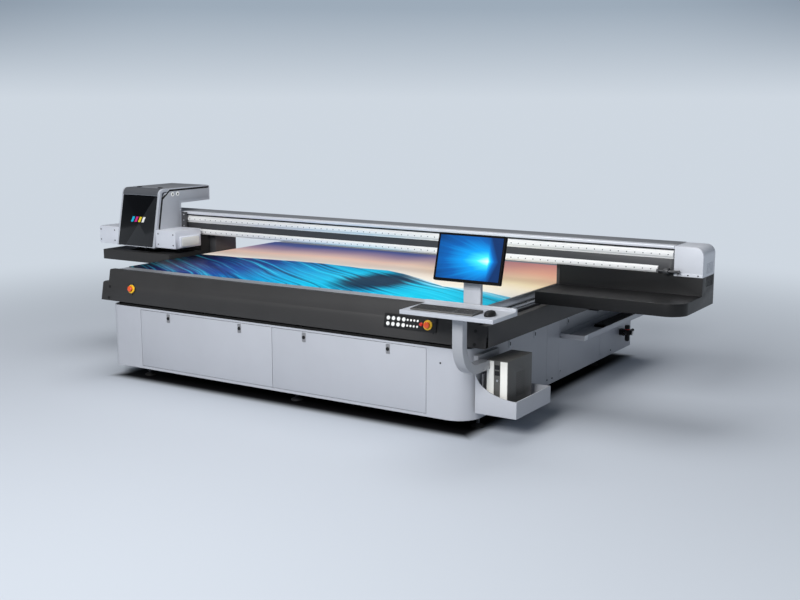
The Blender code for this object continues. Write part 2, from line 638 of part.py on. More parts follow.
def end_platforms(body):
    """Platforms at both ends of the gantry: a low deck in front and a closed housing under the beam."""
    y1, t = BEAM_Y[1], PLATE
    wall_y = 1.175
    deck = [(SLAB_IN, y1), (SLAB_IN, SLAB_FRONT)]
    deck += arc((SLAB_RIGHT - SLAB_CORNER_R, SLAB_FRONT + SLAB_CORNER_R), SLAB_CORNER_R, 270, 360, 8)
    deck.append((SLAB_RIGHT, y1))
    inner = [(SLAB_IN + t, y1 - t), (SLAB_IN + t, SLAB_FRONT + t)]
    inner += arc((SLAB_RIGHT - SLAB_CORNER_R, SLAB_FRONT + SLAB_CORNER_R), SLAB_CORNER_R - t, 270, 360, 8)
    inner.append((SLAB_RIGHT - t, y1 - t))
    right = prism(deck, "Z", SLAB_BOTTOM, SLAB_TOP)
    housing = blocks([((SLAB_IN, BEAM_RIGHT), (wall_y, y1), (SLAB_TOP - 0.020, BEAM_Z[0] - GAP)),
                      ((SLAB_IN, SLAB_RIGHT), (wall_y, y1), (SLAB_TOP - 0.020, CAP_BOTTOM - GAP))])
    hollow = prism(inner, "Z", SLAB_BOTTOM - 0.1, SLAB_TOP - t)
    room = box((SLAB_IN + t, SLAB_RIGHT - t), (wall_y + t, y1 - t), (SLAB_TOP - 0.05, CAP_BOTTOM - GAP - t))
    finish(cut(union(right, housing), hollow, room), "platform_right", "gloss_black", body)
    x = (SLAB_LEFT, -SLAB_IN)
    inside = (x[0] + t, x[1] - t)
    left = blocks([(x, (SLAB_FRONT, y1), (SLAB_BOTTOM, SLAB_TOP)),
                   (x, (wall_y, y1), (SLAB_TOP - 0.020, CAP_BOTTOM - GAP)),
                   ((-2.330, -1.930), (0.830, 1.130), (0.840, SLAB_TOP))],
                  [(inside, (SLAB_FRONT + t, y1 - t), (SLAB_BOTTOM - 0.1, SLAB_TOP - t)),
                   (inside, (wall_y + t, y1 - t), (SLAB_TOP - 0.05, CAP_BOTTOM - GAP - t)),
                   ((-2.3003, -1.9597), (0.8597, 1.1003), (SLAB_BOTTOM - 0.1, SLAB_TOP + 0.1))])
    finish(left, "platform_left", "gloss_black", body)


def gantry_legs(body):
    """Feet of the gantry: each carries the beam on its rail and passes beside the bed."""
    for name, sign in (("leg_left", -1), ("leg_right", 1)):
        x = sorted((sign * LEG_X[0], sign * LEG_X[1]))
        shoe = sorted((sign * (RAIL_X[1] + 0.002), sign * LEG_X[1]))
        leg = blocks([(x, LEG_Y, (RAIL_TOP + GAP, BEAM_Z[0] - GAP)),
                      (shoe, LEG_Y, (RAIL_TOP - 0.018, RAIL_TOP + 0.02))])
        finish(leg, name, "beam_dark", body)


def bumper():
    """Shock absorber at the right end of the carriage travel, bolted to the beam's face."""
    profile = [(0, 2.472), (0.011, 2.472), (0.011, 2.488), (0.006, 2.488), (0.006, 2.525), (0.021, 2.525),
               (0.021, 2.556), (0.010, 2.556), (0.010, 2.622), (0.013, 2.622), (0.013, 2.634), (0, 2.634)]
    damper = moved(turned(profile, 16), along((1, 0, 0), (0, 1.138, 1.043)))
    bracket = box((2.530, 2.552), (1.138, BEAM_Y[0] + 0.004), (1.028, 1.058))
    return union(damper, bracket)


def capping_tray(body):
    """Sunken tray under the parked heads, with a rubber cap for each head."""
    x, y, z = (-2.300, -1.960), (0.860, 1.100), (0.842, 0.8825)
    rim = ((x[0] + 0.006, x[1] - 0.006), (y[0] + 0.006, y[1] - 0.006), (z[0] + 0.004, z[1] + 0.1))
    tray = blocks([(x, y, z)], [rim])
    caps = []
    for i in range(3):
        for j in range(2):
            cx, cy = x[0] + 0.065 + 0.105 * i, y[0] + 0.065 + 0.110 * j
            caps.append(box((cx - 0.030, cx + 0.030), (cy - 0.045, cy + 0.045), (z[0] + 0.002, z[1] - 0.008)))
    finish(union(tray, *caps), "capping_tray", "black_plastic", body)


# ---------------------------------------------------------------- carriage
def carriage(body):
    """Inverted-L housing that reaches over the beam, open at the front and the bottom."""
    x0, x1 = CAR_X
    lean = (COVER_HEEL_Y - COVER_BOTTOM_Y) / (COVER_HEEL_Z - CAR_BOTTOM)
    front = COVER_BOTTOM_Y + COVER_T + 0.004
    outer = [(front, CAR_BOTTOM), (front + lean * (1.340 - CAR_BOTTOM), 1.340), (0.940, 1.395),
             (HINGE_Y + 0.004, CAR_TOP - COVER_T - 0.004), (HINGE_Y + 0.004, CAR_TOP),
             (ARM_BACK - 0.012, CAR_TOP), (ARM_BACK, CAR_TOP - 0.012), (ARM_BACK, ARM_BOTTOM),
             (CAR_BACK, ARM_BOTTOM - 0.003), (CAR_BACK, CAR_BOTTOM)]
    hollow = [(0.60, 0.80), (CAR_BACK - CAR_WALL, 0.80), (CAR_BACK - CAR_WALL, ARM_BOTTOM + CAR_WALL),
              (ARM_BACK - CAR_WALL, ARM_BOTTOM + CAR_WALL), (ARM_BACK - CAR_WALL, CAR_TOP - CAR_WALL),
              (HINGE_Y + 0.020, CAR_TOP - CAR_WALL), (HINGE_Y - 0.030, 1.360), (0.60, 1.360)]
    shell = cut(prism(outer, "X", x0, x1), prism(hollow, "X", x0 + CAR_WALL, x1 - CAR_WALL))
    finish(shell, "carriage_body", "silver", body)
    slider(body)
    uv_lamps(body)
    ink_tanks(body)


def slider(body):
    """Back plate with grooved bearing blocks that run on both rail bars."""
    x = (-2.335, -1.862)
    plate_back = RAIL_FRONT - 0.007
    solids = [(x, (CAR_BACK + GAP, plate_back), (1.028, 1.215))]
    holes = []
    for z in (RAIL_UP_Z, RAIL_LOW_Z):
        mid = (z[0] + z[1]) / 2
        solids.append((x, (plate_back, RAIL_STEP - 0.001), (mid - 0.019, mid + 0.019)))
        holes.append(((x[0] - 0.1, x[1] + 0.1), (RAIL_FRONT - 0.0004, RAIL_STEP + 0.1), (mid - 0.0144, mid + 0.0144)))
    finish(blocks(solids, holes), "carriage_slider", "beam_dark", body)


def uv_lamps(body):
    """Curing lamps on both sides of the carriage, open below, each with a side pod."""
    t = 0.005
    for name, x, pod in (("uv_lamp_right", (CAR_X[1] + GAP, -1.675), (-1.675, -1.657)),
                         ("uv_lamp_left", (-2.585, CAR_X[0] - GAP), (X_RANGE[0], -2.585))):
        side = (0.850, 1.085) if name.endswith("right") else (0.880, 0.960)
        z_pod = (0.945, 1.035) if name.endswith("right") else (0.990, 1.050)
        solids = [(x, LAMP_Y, (CAR_BOTTOM, LAMP_TOP)), (pod, side, z_pod)]
        hole = ((x[0] + t, x[1] - t), (LAMP_Y[0] + t, LAMP_Y[1] - t), (CAR_BOTTOM - 0.1, LAMP_TOP - t))
        finish(blocks(solids, [hole]), name, "silver", body)


def ink_tanks(body):
    """Six small ink tanks standing on one shelf inside the carriage."""
    shelf = ((-2.330, -1.930), (0.960, 1.100), (1.160, 1.168))
    solids = [shelf]
    for i in range(6):
        x = -2.322 + 0.066 * i
        solids.append(((x, x + 0.054), (0.970, 1.095), (1.160, 1.290)))
    finish(blocks(solids), "ink_tanks", "tank", body)


def front_cover(hinge, at):
    """Leaning front cover that wraps over the top edge, with a recessed glass pane."""
    x0, x1 = CAR_X
    lean_angle = math.degrees(math.atan2(COVER_HEEL_Y - COVER_BOTTOM_Y, COVER_HEEL_Z - CAR_BOTTOM))
    r_out = 0.055
    centre = (COVER_HEEL_Y + r_out, CAR_TOP - r_out)
    outer = [(COVER_BOTTOM_Y, CAR_BOTTOM - 0.005)] + arc(centre, r_out, 180 - lean_angle, 90, 6)
    outer.append((HINGE_Y, CAR_TOP))
    inner = [(HINGE_Y, CAR_TOP - COVER_T)]
    inner += arc(centre, r_out - COVER_T, 90, 180 - lean_angle, 4)
    inner.append((COVER_BOTTOM_Y + COVER_T, CAR_BOTTOM - 0.005))
    shell = prism(outer + inner, "X", x0, x1)
    slope = math.radians(lean_angle)
    face = Matrix.Translation((0, COVER_BOTTOM_Y, CAR_BOTTOM - 0.005)) @ Matrix.Rotation(-slope, 4, "X")
    recess = moved(box((x0 + 0.014, x1 - 0.024), (-0.05, 0.006), (0.006, 0.452)), face)
    finish(cut(shell, recess), "front_cover", "silver", hinge, at, smooth=True)
    pane = moved(box((x0 + 0.015, x1 - 0.025), (0.0008, 0.006 - GAP), (0.007, 0.451)), face)
    finish(pane, "cover_glass", "gloss_black", hinge, at)


def print_heads(stage, at):
    """Head plate that slides up and down the carriage's back wall, with two rows of print heads."""
    solids = [((-2.330, -1.930), (0.850, CAR_BACK - CAR_WALL - 0.0010), (0.962, 0.974))]
    for i in range(3):
        for j in range(2):
            cx, cy = -2.235 + 0.105 * i, 0.925 + 0.110 * j
            solids.append(((cx - 0.022, cx + 0.022), (cy - 0.040, cy + 0.040), (0.905, 1.000)))
    finish(blocks(solids), "print_heads", "bed_alu", stage, at)


# ---------------------------------------------------------------- operator station
def station(root):
    y0, y1 = ARM_Y
    centre = (y0 + BEND_R, BEND_Z)
    thick = y1 - y0
    outline = [(y1, TRAY_Z[0] - GAP), (y0, TRAY_Z[0] - GAP)]
    outline += arc(centre, BEND_R, 180, 270, 10) + [(0.110, BEND_Z - BEND_R)]
    outline += [(0.110, BEND_Z - BEND_R + thick)] + arc(centre, BEND_R - thick, 270, 180, 10)
    arm = prism(outline, "X", ARM_X[0], ARM_X[1])
    plate = box((CAB_HALF_W + GAP, ARM_X[0] + 0.015), (0.060, 0.360), (0.450, 0.550))
    corner = prism(rounded_corner_clear(), "Z", 0.40, 0.60)
    finish(union(arm, cut(plate, corner)), "station_arm", "silver", root, smooth=True)
    t, lip = TRAY_Z, 0.018
    post_x = (MON_C[0] - 0.062, MON_C[0] + 0.062)
    tray = blocks([(TRAY_X, TRAY_Y, t), (TRAY_X, (TRAY_Y[1] - 0.022, TRAY_Y[1]), (t[0], t[1] + lip)),
                   (post_x, (TRAY_Y[1] - 0.022, POST_Y[1]), (t[0], t[1])),
                   (post_x, POST_Y, (t[0], 1.215))])
    finish(tray, "keyboard_tray", "silver", root)
    finish(box((1.400, 1.850), (-0.352, -0.212), (t[1] + GAP, t[1] + 0.019)), "keyboard", "black_plastic", root)
    shape = turned([(0, 0), (0.9, 0.0), (1.0, 0.25), (0.92, 0.6), (0.6, 0.92), (0, 1.0)], 20)
    mouse = moved(shape, Matrix.Translation((1.930, -0.275, t[1] + GAP)) @ Matrix.Diagonal((0.033, 0.053, 0.034, 1)))
    finish(mouse, "mouse", "black_plastic", root, smooth=True)
    pc_shelf(root)
    finish(box(PC_X, PC_Y, (SHELF_Z + 0.006 + GAP, PC_TOP)), "pc_tower", "pc_dark", root)


def rounded_corner_clear():
    """Cabinet corner outline, a little enlarged, that the arm's bolting plate must stay out of."""
    w, r = CAB_HALF_W + GAP, CAB_CORNER_R
    return [(w - r, 0.5)] + [(w - r, 0.0)] + arc((w - r, r), r, 270, 360, 8) + [(w, 0.5)]


def pc_shelf(root):
    """Open tray for the computer, with a swept front horn beside the cabinet."""
    x, y, z, t = SHELF_X, SHELF_Y, SHELF_Z, 0.006
    horn = []
    for i in range(11):
        angle = math.radians(90 * i / 10)
        horn.append((x[1] - (x[1] - x[0]) * math.cos(angle),
                     SHELF_LIP + (SHELF_HORN - SHELF_LIP) * (1 - math.sin(angle))))
    front = prism([(x[1], z), (x[0], z)] + horn, "Y", y[0], y[0] + t)
    rest = blocks([(x, (y[0] + 0.002, y[1]), (z, z + t)),
                   ((x[1] - t, x[1]), (y[0] + 0.002, y[1]), (z, SHELF_LIP)),
                   ((x[0], x[0] + t), (0.180, y[1]), (z, 0.400)),
                   (x, (y[1] - t, y[1]), (z, SHELF_LIP))])
    finish(union(front, rest), "pc_shelf", "light_panel", root)


def monitor(hinge, at):
    """Screen with its rear boss, leaning back on the post."""
    w, h, t = MON_W / 2, MON_H / 2, MON_T / 2
    screen = box((-w, w), (-t, t), (-h, h))
    place = Matrix.Translation(MON_C) @ Matrix.Rotation(-MON_TILT, 4, "X")
    boss = box((-0.055, 0.055), (t - 0.003, t + 0.008), (-0.060, 0.040))
    recess = box((-w + 0.012, w - 0.012), (-0.1, -t + 0.0015), (-h + 0.014, h - 0.012))
    finish(moved(cut(union(screen, boss), recess), place), "monitor", "black_plastic", hinge, at)


# ---------------------------------------------------------------- assembly
def build():
    clear_scene()
    root = empty("machine", (-CENTRE[0], -CENTRE[1], 0.0))
    for make in (base_frame, cabinet_shell, front_fascia, side_skirt, bed_table, printed_board, y_rails,
                 feet, doors, control_panel, emergency_stops, cable_trough, y_drag_chain, air_regulator,
                 internals, station):
        make(root)
    travelling = empty("gantry", (0, 0, 0), root)
    gantry(travelling)
    crossing = empty("carriage", (0, 0, 0), travelling)
    carriage(crossing)
    hinge_at = (0.0, HINGE_Y, CAR_TOP)
    front_cover(empty("cover_hinge", hinge_at, crossing), hinge_at)
    stage_at = (-2.130, CAR_BACK - CAR_WALL, 1.040)
    print_heads(empty("head_stage", stage_at, crossing), stage_at)
    tilt_at = (MON_C[0], -0.058, 1.190)
    monitor(empty("monitor_hinge", tilt_at, root), tilt_at)
    bpy.context.view_layer.update()


build()
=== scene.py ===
"""Looks of the flatbed UV printer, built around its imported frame.

Helpers work in machine coordinates (x = 0 in the cabinet's middle, y = 0 at its front face, z = 0 on
the floor), and HOME, read from the frame, moves them into the row frame.
"""
import math

import bmesh
import bpy
from mathutils import Matrix, Vector


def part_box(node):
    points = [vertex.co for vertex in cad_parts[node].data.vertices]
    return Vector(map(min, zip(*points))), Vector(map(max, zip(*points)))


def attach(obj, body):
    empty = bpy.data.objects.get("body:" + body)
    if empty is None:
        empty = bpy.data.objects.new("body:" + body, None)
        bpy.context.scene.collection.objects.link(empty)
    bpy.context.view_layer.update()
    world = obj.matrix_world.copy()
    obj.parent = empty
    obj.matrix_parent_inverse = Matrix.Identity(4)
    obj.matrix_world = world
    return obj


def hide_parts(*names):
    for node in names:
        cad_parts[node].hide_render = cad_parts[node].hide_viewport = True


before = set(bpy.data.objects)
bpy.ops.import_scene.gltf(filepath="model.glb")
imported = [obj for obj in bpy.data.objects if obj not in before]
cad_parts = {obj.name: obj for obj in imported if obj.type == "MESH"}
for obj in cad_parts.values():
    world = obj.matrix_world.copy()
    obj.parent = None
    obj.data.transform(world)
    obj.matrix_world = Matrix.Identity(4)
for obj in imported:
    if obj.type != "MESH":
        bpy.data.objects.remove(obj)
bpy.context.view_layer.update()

CAB_LOW, CAB_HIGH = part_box("cabinet_shell")
HOME = Vector(((CAB_LOW.x + CAB_HIGH.x) / 2, CAB_LOW.y, 0.0))
GAP = 0.0003


def place(name):
    """A CAD node's box in machine coordinates: ((x0, x1), (y0, y1), (z0, z1))."""
    low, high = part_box(name)
    low, high = low - HOME, high - HOME
    return tuple((low[k], high[k]) for k in range(3))


# ---------------------------------------------------------------- materials
def new_material(name):
    mat = bpy.data.materials.new(name)
    mat.use_nodes = True
    tree = mat.node_tree
    return mat, tree, tree.nodes["Principled BSDF"]


class Signal:
    """Output of a shader node. Arithmetic on it adds Math nodes."""

    def __init__(self, socket):
        self.socket = socket
        self.tree = socket.id_data

    def __add__(self, other):
        return math_node("ADD", self, other)

    def __sub__(self, other):
        return math_node("SUBTRACT", self, other)

    def __mul__(self, other):
        return math_node("MULTIPLY", self, other)

    def __truediv__(self, other):
        return math_node("DIVIDE", self, other)


def feed(socket, value):
    """Link a signal to a shader socket, or set the socket to a constant."""
    if isinstance(value, Signal):
        value.tree.links.new(value.socket, socket)
    elif isinstance(value, tuple):
        socket.default_value = value + (1.0,) * (len(socket.default_value) - len(value))
    else:
        socket.default_value = value


def fill(shader, **values):
    """Set or link a shader's inputs by name, with _ for a space."""
    for key, value in values.items():
        feed(shader.inputs[key.replace("_", " ")], value)
    return shader


def node(tree, kind, **values):
    return fill(tree.nodes.new("ShaderNode" + kind), **values)


def math_node(operation, first, second=0.0):
    made = node(first.tree, "Math")
    made.operation = operation
    feed(made.inputs[0], first)
    feed(made.inputs[1], second)
    return Signal(made.outputs[0])


def remap(vector, scale=(1, 1, 1), turn=(0, 0, 0), move=(0, 0, 0)):
    made = node(vector.tree, "Mapping", Vector=vector, Scale=scale, Rotation=turn, Location=move)
    return Signal(made.outputs["Vector"])


def object_coords(tree, scale=(1, 1, 1), move=(0, 0, 0)):
    return remap(Signal(node(tree, "TexCoord").outputs["Object"]), scale, move=move)


def axes_of(vector):
    return [Signal(output) for output in node(vector.tree, "SeparateXYZ", Vector=vector).outputs]


def vector_of(x, y=0.0):
    return Signal(node(x.tree, "CombineXYZ", X=x, Y=y).outputs[0])


def noise(vector, scale, detail=2.0, rough=0.5):
    made = node(vector.tree, "TexNoise", Vector=vector, Scale=scale, Detail=detail, Roughness=rough)
    return Signal(made.outputs["Fac"])


def ramp(factor, stops):
    made = node(factor.tree, "ValToRGB", Fac=factor)
    points = made.color_ramp.elements
    while len(points) < len(stops):
        points.new(0.5)
    for point, (where, colour) in zip(points, stops):
        point.position = where
        point.color = (*colour, 1.0)
    return Signal(made.outputs["Color"])


def grey(*stops):
    """Ramp stops that carry a plain number."""
    return [(where, (value, value, value)) for where, value in stops]


def scaled_range(factor, low, high):
    return Signal(node(factor.tree, "MapRange", Value=factor, To_Min=low, To_Max=high).outputs["Result"])


def smooth_step(value, low, high):
    made = node(value.tree, "MapRange", Value=value, From_Min=low, From_Max=high)
    made.interpolation_type = "SMOOTHSTEP"
    return Signal(made.outputs["Result"])


def mix(factor, first, second):
    tree = next(value.tree for value in (factor, first, second) if isinstance(value, Signal))
    made = node(tree, "Mix")
    made.data_type = "RGBA"
    for index, value in ((0, factor), (6, first), (7, second)):
        feed(made.inputs[index], value)
    return Signal(made.outputs[2])


def bump(height, strength, distance):
    made = node(height.tree, "Bump", Strength=strength, Distance=distance, Height=height)
    return Signal(made.outputs["Normal"])


def finish_paint(name, colour, rough, metal=0.0, grain=900.0, depth=0.00012, mottle=0.05,
                 streak=(1, 1, 1), coat=0.0, shine=0.5):
    """Painted, moulded or ground surface: fine grain, slow mottling and roughness that varies."""
    mat, tree, bsdf = new_material(name)
    vector = object_coords(tree, streak)
    fine = noise(vector, grain, 3.0, 0.6)
    slow = noise(vector, 3.5, 4.0, 0.55)
    dark = [c * (1 - mottle) for c in colour]
    light = [min(1.0, c * (1 + mottle)) for c in colour]
    fill(bsdf, Base_Color=ramp(slow, [(0.3, dark), (0.7, light)]), Metallic=metal,
         Roughness=scaled_range(fine, rough * 0.85, min(1.0, rough * 1.15)), Normal=bump(fine, 0.5, depth),
         Specular_IOR_Level=shine, Coat_Weight=coat, Coat_Roughness=0.08)
    return mat


def artwork():
    """Invented picture on the board: dark water running to bright streaks, and an evening sky behind it. Half
    its colour glows as painted light.
    """
    (x0, x1), _, _ = place("printed_board")
    mat, tree, bsdf = new_material("board_print")
    flat = object_coords(tree, move=(-HOME.x, -HOME.y, 0))
    x, y, _ = axes_of(flat)
    across = (x - x0) * (1 / (x1 - x0))

    swing = (noise(remap(flat, (0.7, 1.0, 1)), 0.9, 2.0, 0.4) - 0.5) * 0.30
    along_x, across_y, _ = axes_of(remap(flat, turn=(0, 0, math.radians(31))))
    streak = noise(vector_of(along_x * 0.30, (across_y + swing) * 15.0), 1.6, 7.0, 0.62)

    swell = ramp(across, grey((0.0, 0.50), (0.13, 0.50), (0.25, 0.53), (0.37, 0.545), (0.50, 0.52),
                              (0.58, 0.53), (0.64, 0.49), (0.73, 0.41), (0.81, 0.325), (0.89, 0.32),
                              (0.94, 0.30), (1.0, 0.26)))
    ripple = (noise(flat, 3.0, 4.0) - 0.5) * 0.07
    above = y - (swell * 2.2 + ripple)

    drift = across + (streak - 0.5) * 0.16
    water = ramp(drift, [(0.03, (0.001, 0.001, 0.008)), (0.12, (0.001, 0.006, 0.11)),
                         (0.26, (0.0, 0.06, 0.32)), (0.40, (0.0, 0.32, 0.66)), (0.55, (0.0, 0.50, 0.78)),
                         (0.68, (0.0, 0.30, 0.58)), (0.80, (0.0, 0.56, 0.80)), (1.0, (0.0, 0.50, 0.74))])
    shimmer = smooth_step(streak, 0.50, 0.66) * scaled_range(smooth_step(across, 0.02, 0.34), 0.22, 0.70)
    water = mix(shimmer, water, (0.03, 0.68, 0.90))
    water = mix(smooth_step(streak, 0.47, 0.35) * 0.80, water, (0.0, 0.014, 0.085))

    hollow_at, hollow_size = (0.48, 0.68), (0.32, 0.50)
    from_hollow = node(tree, "VectorMath", Vector=remap(
        flat, (1 / hollow_size[0], 1 / hollow_size[1], 0),
        move=(-hollow_at[0] / hollow_size[0], -hollow_at[1] / hollow_size[1], 0)))
    from_hollow.operation = "LENGTH"
    hollow = Signal(from_hollow.outputs["Value"]) + streak * 1.3
    water = mix(smooth_step(hollow, 1.85, 1.15) * 0.94, water, (0.001, 0.008, 0.035))
    rim = smooth_step(above, -0.12, -0.01) * smooth_step(across, 0.62, 0.76)
    water = mix(rim * smooth_step(streak, 0.38, 0.60), water, (0.62, 0.86, 0.92))

    left_sky = ramp(above * 0.80, [(0.0, (0.90, 0.84, 0.76)), (0.26, (0.90, 0.62, 0.50)),
                                   (0.50, (0.36, 0.24, 0.34)), (0.70, (0.050, 0.075, 0.27)),
                                   (1.0, (0.012, 0.030, 0.17))])
    right_sky = ramp(above * 0.65, [(0.0, (0.88, 0.86, 0.78)), (0.30, (0.90, 0.76, 0.50)),
                                    (0.62, (0.86, 0.44, 0.30)), (1.0, (0.55, 0.17, 0.18))])
    sky = mix(smooth_step(across, 0.45, 0.95), left_sky, right_sky)
    colour = mix(smooth_step(above, -0.010, 0.010), water, sky)
    grain = noise(object_coords(tree), 1400.0)
    # Painted light: half the picture's colour is emission, so the board glows and the beam's cast shadow on
    # it fades.
    fill(bsdf, Base_Color=mix(0.50, colour, (0.0, 0.0, 0.0)), Emission_Color=colour, Emission_Strength=0.55,
         Roughness=scaled_range(grain, 0.30, 0.42), Normal=bump(grain, 0.3, 0.00008), Specular_IOR_Level=0.10)
    return mat


def screen_picture():
    """Abstract blue glow on the screen, with soft beams fanning out from one side."""
    (x0, x1), _, (z0, z1) = place("monitor")
    mat, tree, bsdf = new_material("screen_picture")
    source = (x0 + 0.78 * (x1 - x0) + HOME.x, z0 + 0.48 * (z1 - z0))
    x, _, z = axes_of(object_coords(tree, move=(-source[0], 0, -source[1])))
    left = math_node("MAXIMUM", x * -1.0, 0.0)
    right = math_node("MAXIMUM", x, 0.0)
    spread = z / (left * 0.50 + 0.060)
    beams = noise(vector_of(spread * 2.2), 1.9, 3.0, 0.6)
    reach = left * scaled_range(beams, 3.0, 0.7) + math_node("ABSOLUTE", spread) * 0.34 + right * 13.0
    glow = ramp(reach, [(0.0, (0.80, 1.0, 1.0)), (0.16, (0.05, 0.78, 1.0)), (0.34, (0.0, 0.34, 0.88)),
                        (0.60, (0.0, 0.11, 0.42)), (1.0, (0.0, 0.028, 0.13))])
    fill(bsdf, Base_Color=(0.002, 0.002, 0.003), Roughness=0.35, Specular_IOR_Level=0.15,
         Emission_Color=glow, Emission_Strength=1.2)
    return mat


def pane_glass():
    """Gloss black glass with a lighter lower half below one slanting edge."""
    mat, tree, bsdf = new_material("pane_glass")
    (x0, x1), _, (z0, z1) = place("cover_glass")
    vector = object_coords(tree, move=(-(x0 + x1) / 2 - HOME.x - 0.03, 0, -(z0 + z1) / 2))
    x, _, z = axes_of(vector)
    lower = smooth_step(x * 1.15 - z * 0.8, -0.004, 0.004)
    fill(bsdf, Base_Color=mix(lower, (0.003, 0.003, 0.0035), (0.017, 0.018, 0.020)),
         Roughness=scaled_range(noise(vector, 500.0), 0.05, 0.09), Specular_IOR_Level=0.30)
    return mat


# Each finish: colour, roughness, metal, grain frequency, grain depth, mottle and, on some, the grain's
# stretch along the axes or other settings of finish_paint.
FINISHES = {
    "light_panel": ((0.45, 0.465, 0.505), 0.42, 0.0, 700.0, 0.00010, 0.02),
    "dark_panel": ((0.037, 0.036, 0.036), 0.50, 0.0, 1300.0, 0.00022, 0.06, {"shine": 0.25}),
    "frame_steel": ((0.060, 0.060, 0.065), 0.55, 0.3, 500.0, 0.00030, 0.12),
    "bed_alu": ((0.56, 0.57, 0.60), 0.36, 0.75, 260.0, 0.00006, 0.05, (1, 40, 1)),
    "rail_white": ((0.84, 0.84, 0.83), 0.42, 0.05, 300.0, 0.00005, 0.03, (0.02, 1, 1)),
    "rail_steel": ((0.44, 0.45, 0.47), 0.28, 0.95, 300.0, 0.00005, 0.05, (1, 0.02, 1)),
    "beam_dark": ((0.055, 0.056, 0.060), 0.45, 0.15, 420.0, 0.00008, 0.08, (0.02, 1, 1)),
    "silver": ((0.49, 0.51, 0.555), 0.38, 0.10, 1100.0, 0.00008, 0.03, {"coat": 0.10}),
    "gloss_black": ((0.011, 0.011, 0.0115), 0.38, 0.0, 30.0, 0.00006, 0.10, {"shine": 0.22}),
    "black_plastic": ((0.013, 0.013, 0.0135), 0.50, 0.0, 1500.0, 0.00018, 0.08, {"shine": 0.25}),
    "rubber": ((0.018, 0.018, 0.018), 0.82, 0.0, 600.0, 0.00030, 0.15),
    "button_white": ((0.84, 0.84, 0.82), 0.30, 0.0, 900.0, 0.00006, 0.02),
    "estop_red": ((0.80, 0.10, 0.025), 0.28, 0.0, 900.0, 0.00006, 0.05, {"coat": 0.5}),
    "pc_dark": ((0.10, 0.098, 0.092), 0.45, 0.2, 900.0, 0.00016, 0.06),
    "tank": ((0.70, 0.70, 0.66), 0.42, 0.0, 200.0, 0.00008, 0.05),
    # Near-black: painted shade in holes, gaps, grooves, ports and the cabinet's inside; also the colour of
    # the fascia's screws and dot.
    "black_and_painted_shade": ((0.004, 0.004, 0.004), 0.75, 0.0, 300.0, 0.0001, 0.2),
    "yellow_ring": ((0.85, 0.50, 0.02), 0.38, 0.0, 900.0, 0.00008, 0.04),
    "ivory": ((0.85, 0.84, 0.79), 0.40, 0.0, 900.0, 0.00010, 0.03),
    # Brighter copy of the silver paint: painted highlights on corners and edges, and a lit face at the arm's
    # end.
    "silver_highlight": ((0.66, 0.68, 0.71), 0.32, 0.1, 900.0, 0.00008, 0.02),
    # Darker copy of the silver paint on the carriage's sides: painted shade.
    "silver_side_shade": ((0.44, 0.455, 0.49), 0.38, 0.15, 900.0, 0.00010, 0.04),
    # On the rail holes' discs this grey is painted shade.
    "band_grey": ((0.10, 0.105, 0.115), 0.36, 0.1, 900.0, 0.00010, 0.04),
    # Lighter copy of the silver paint on the lamp shells: painted light.
    "lamp_silver_lit_copy": ((0.74, 0.76, 0.82), 0.36, 0.2, 900.0, 0.00010, 0.04),
    # Lighter copy of the silver paint on the beam cover and end cap: painted light.
    "silver_lit_copy": ((0.68, 0.70, 0.75), 0.36, 0.1, 900.0, 0.00008, 0.02),
    # Darker grey laid on top faces: painted shade.
    "top_shade_grey": ((0.20, 0.205, 0.22), 0.42, 0.1, 900.0, 0.00010, 0.04),
    "bezel_black": ((0.004, 0.004, 0.0045), 0.55, 0.0, 1500.0, 0.00012, 0.1, {"shine": 0.06}),
    "arm_paint": ((0.36, 0.37, 0.395), 0.40, 0.1, 900.0, 0.00010, 0.03),
    # Lighter copy of dark_panel for the side skirt: painted light.
    "skirt_side_lit_copy": ((0.066, 0.064, 0.064), 0.50, 0.0, 1300.0, 0.00022, 0.06, {"shine": 0.25}),
    "pad_grey": ((0.30, 0.30, 0.31), 0.32, 0.6, 900.0, 0.00010, 0.05),
    "key_grey": ((0.012, 0.012, 0.013), 0.45, 0.0, 1500.0, 0.00010, 0.05),
    "lens_red": ((0.60, 0.03, 0.02), 0.22, 0.0, 300.0, 0.00005, 0.08, {"coat": 0.8}),
    "brass": ((0.55, 0.38, 0.16), 0.30, 0.9, 400.0, 0.00006, 0.06),
    "ink_cyan": ((0.01, 0.45, 0.70), 0.35, 0.0, 900.0, 0.00006, 0.04),
    "ink_magenta": ((0.60, 0.02, 0.22), 0.35, 0.0, 900.0, 0.00006, 0.04),
    "ink_yellow": ((0.80, 0.60, 0.02), 0.35, 0.0, 900.0, 0.00006, 0.04),
}


def make_materials():
    paints = {}
    for name, values in FINISHES.items():
        options = values[-1] if isinstance(values[-1], dict) else {}
        paints[name] = finish_paint(name, *[value for value in values if value is not options], **options)
    paints["print"] = artwork()
    paints["screen"] = screen_picture()
    paints["pane"] = pane_glass()
    return paints


# ---------------------------------------------------------------- mesh helpers
def from_bmesh(bm):
    bmesh.ops.recalc_face_normals(bm, faces=bm.faces)
    mesh = bpy.data.meshes.new("piece")
    bm.to_mesh(mesh)
    bm.free()
    ob = bpy.data.objects.new("piece", mesh)
    bpy.context.collection.objects.link(ob)
    return ob


AXES = {"X": lambda u, v, w: (w, u, v), "Y": lambda u, v, w: (u, w, v), "Z": lambda u, v, w: (u, v, w)}


def prism(loop, axis, low, high):
    """Extrude a closed outline. X takes (y, z) points, Y takes (x, z) and Z takes (x, y)."""
    bm = bmesh.new()
    ends = [[bm.verts.new(AXES[axis](u, v, w)) for u, v in loop] for w in (low, high)]
    for ring in ends:
        bm.faces.new(ring)
    for i in range(len(loop)):
        j = (i + 1) % len(loop)
        bm.faces.new((ends[0][i], ends[0][j], ends[1][j], ends[1][i]))
    return from_bmesh(bm)


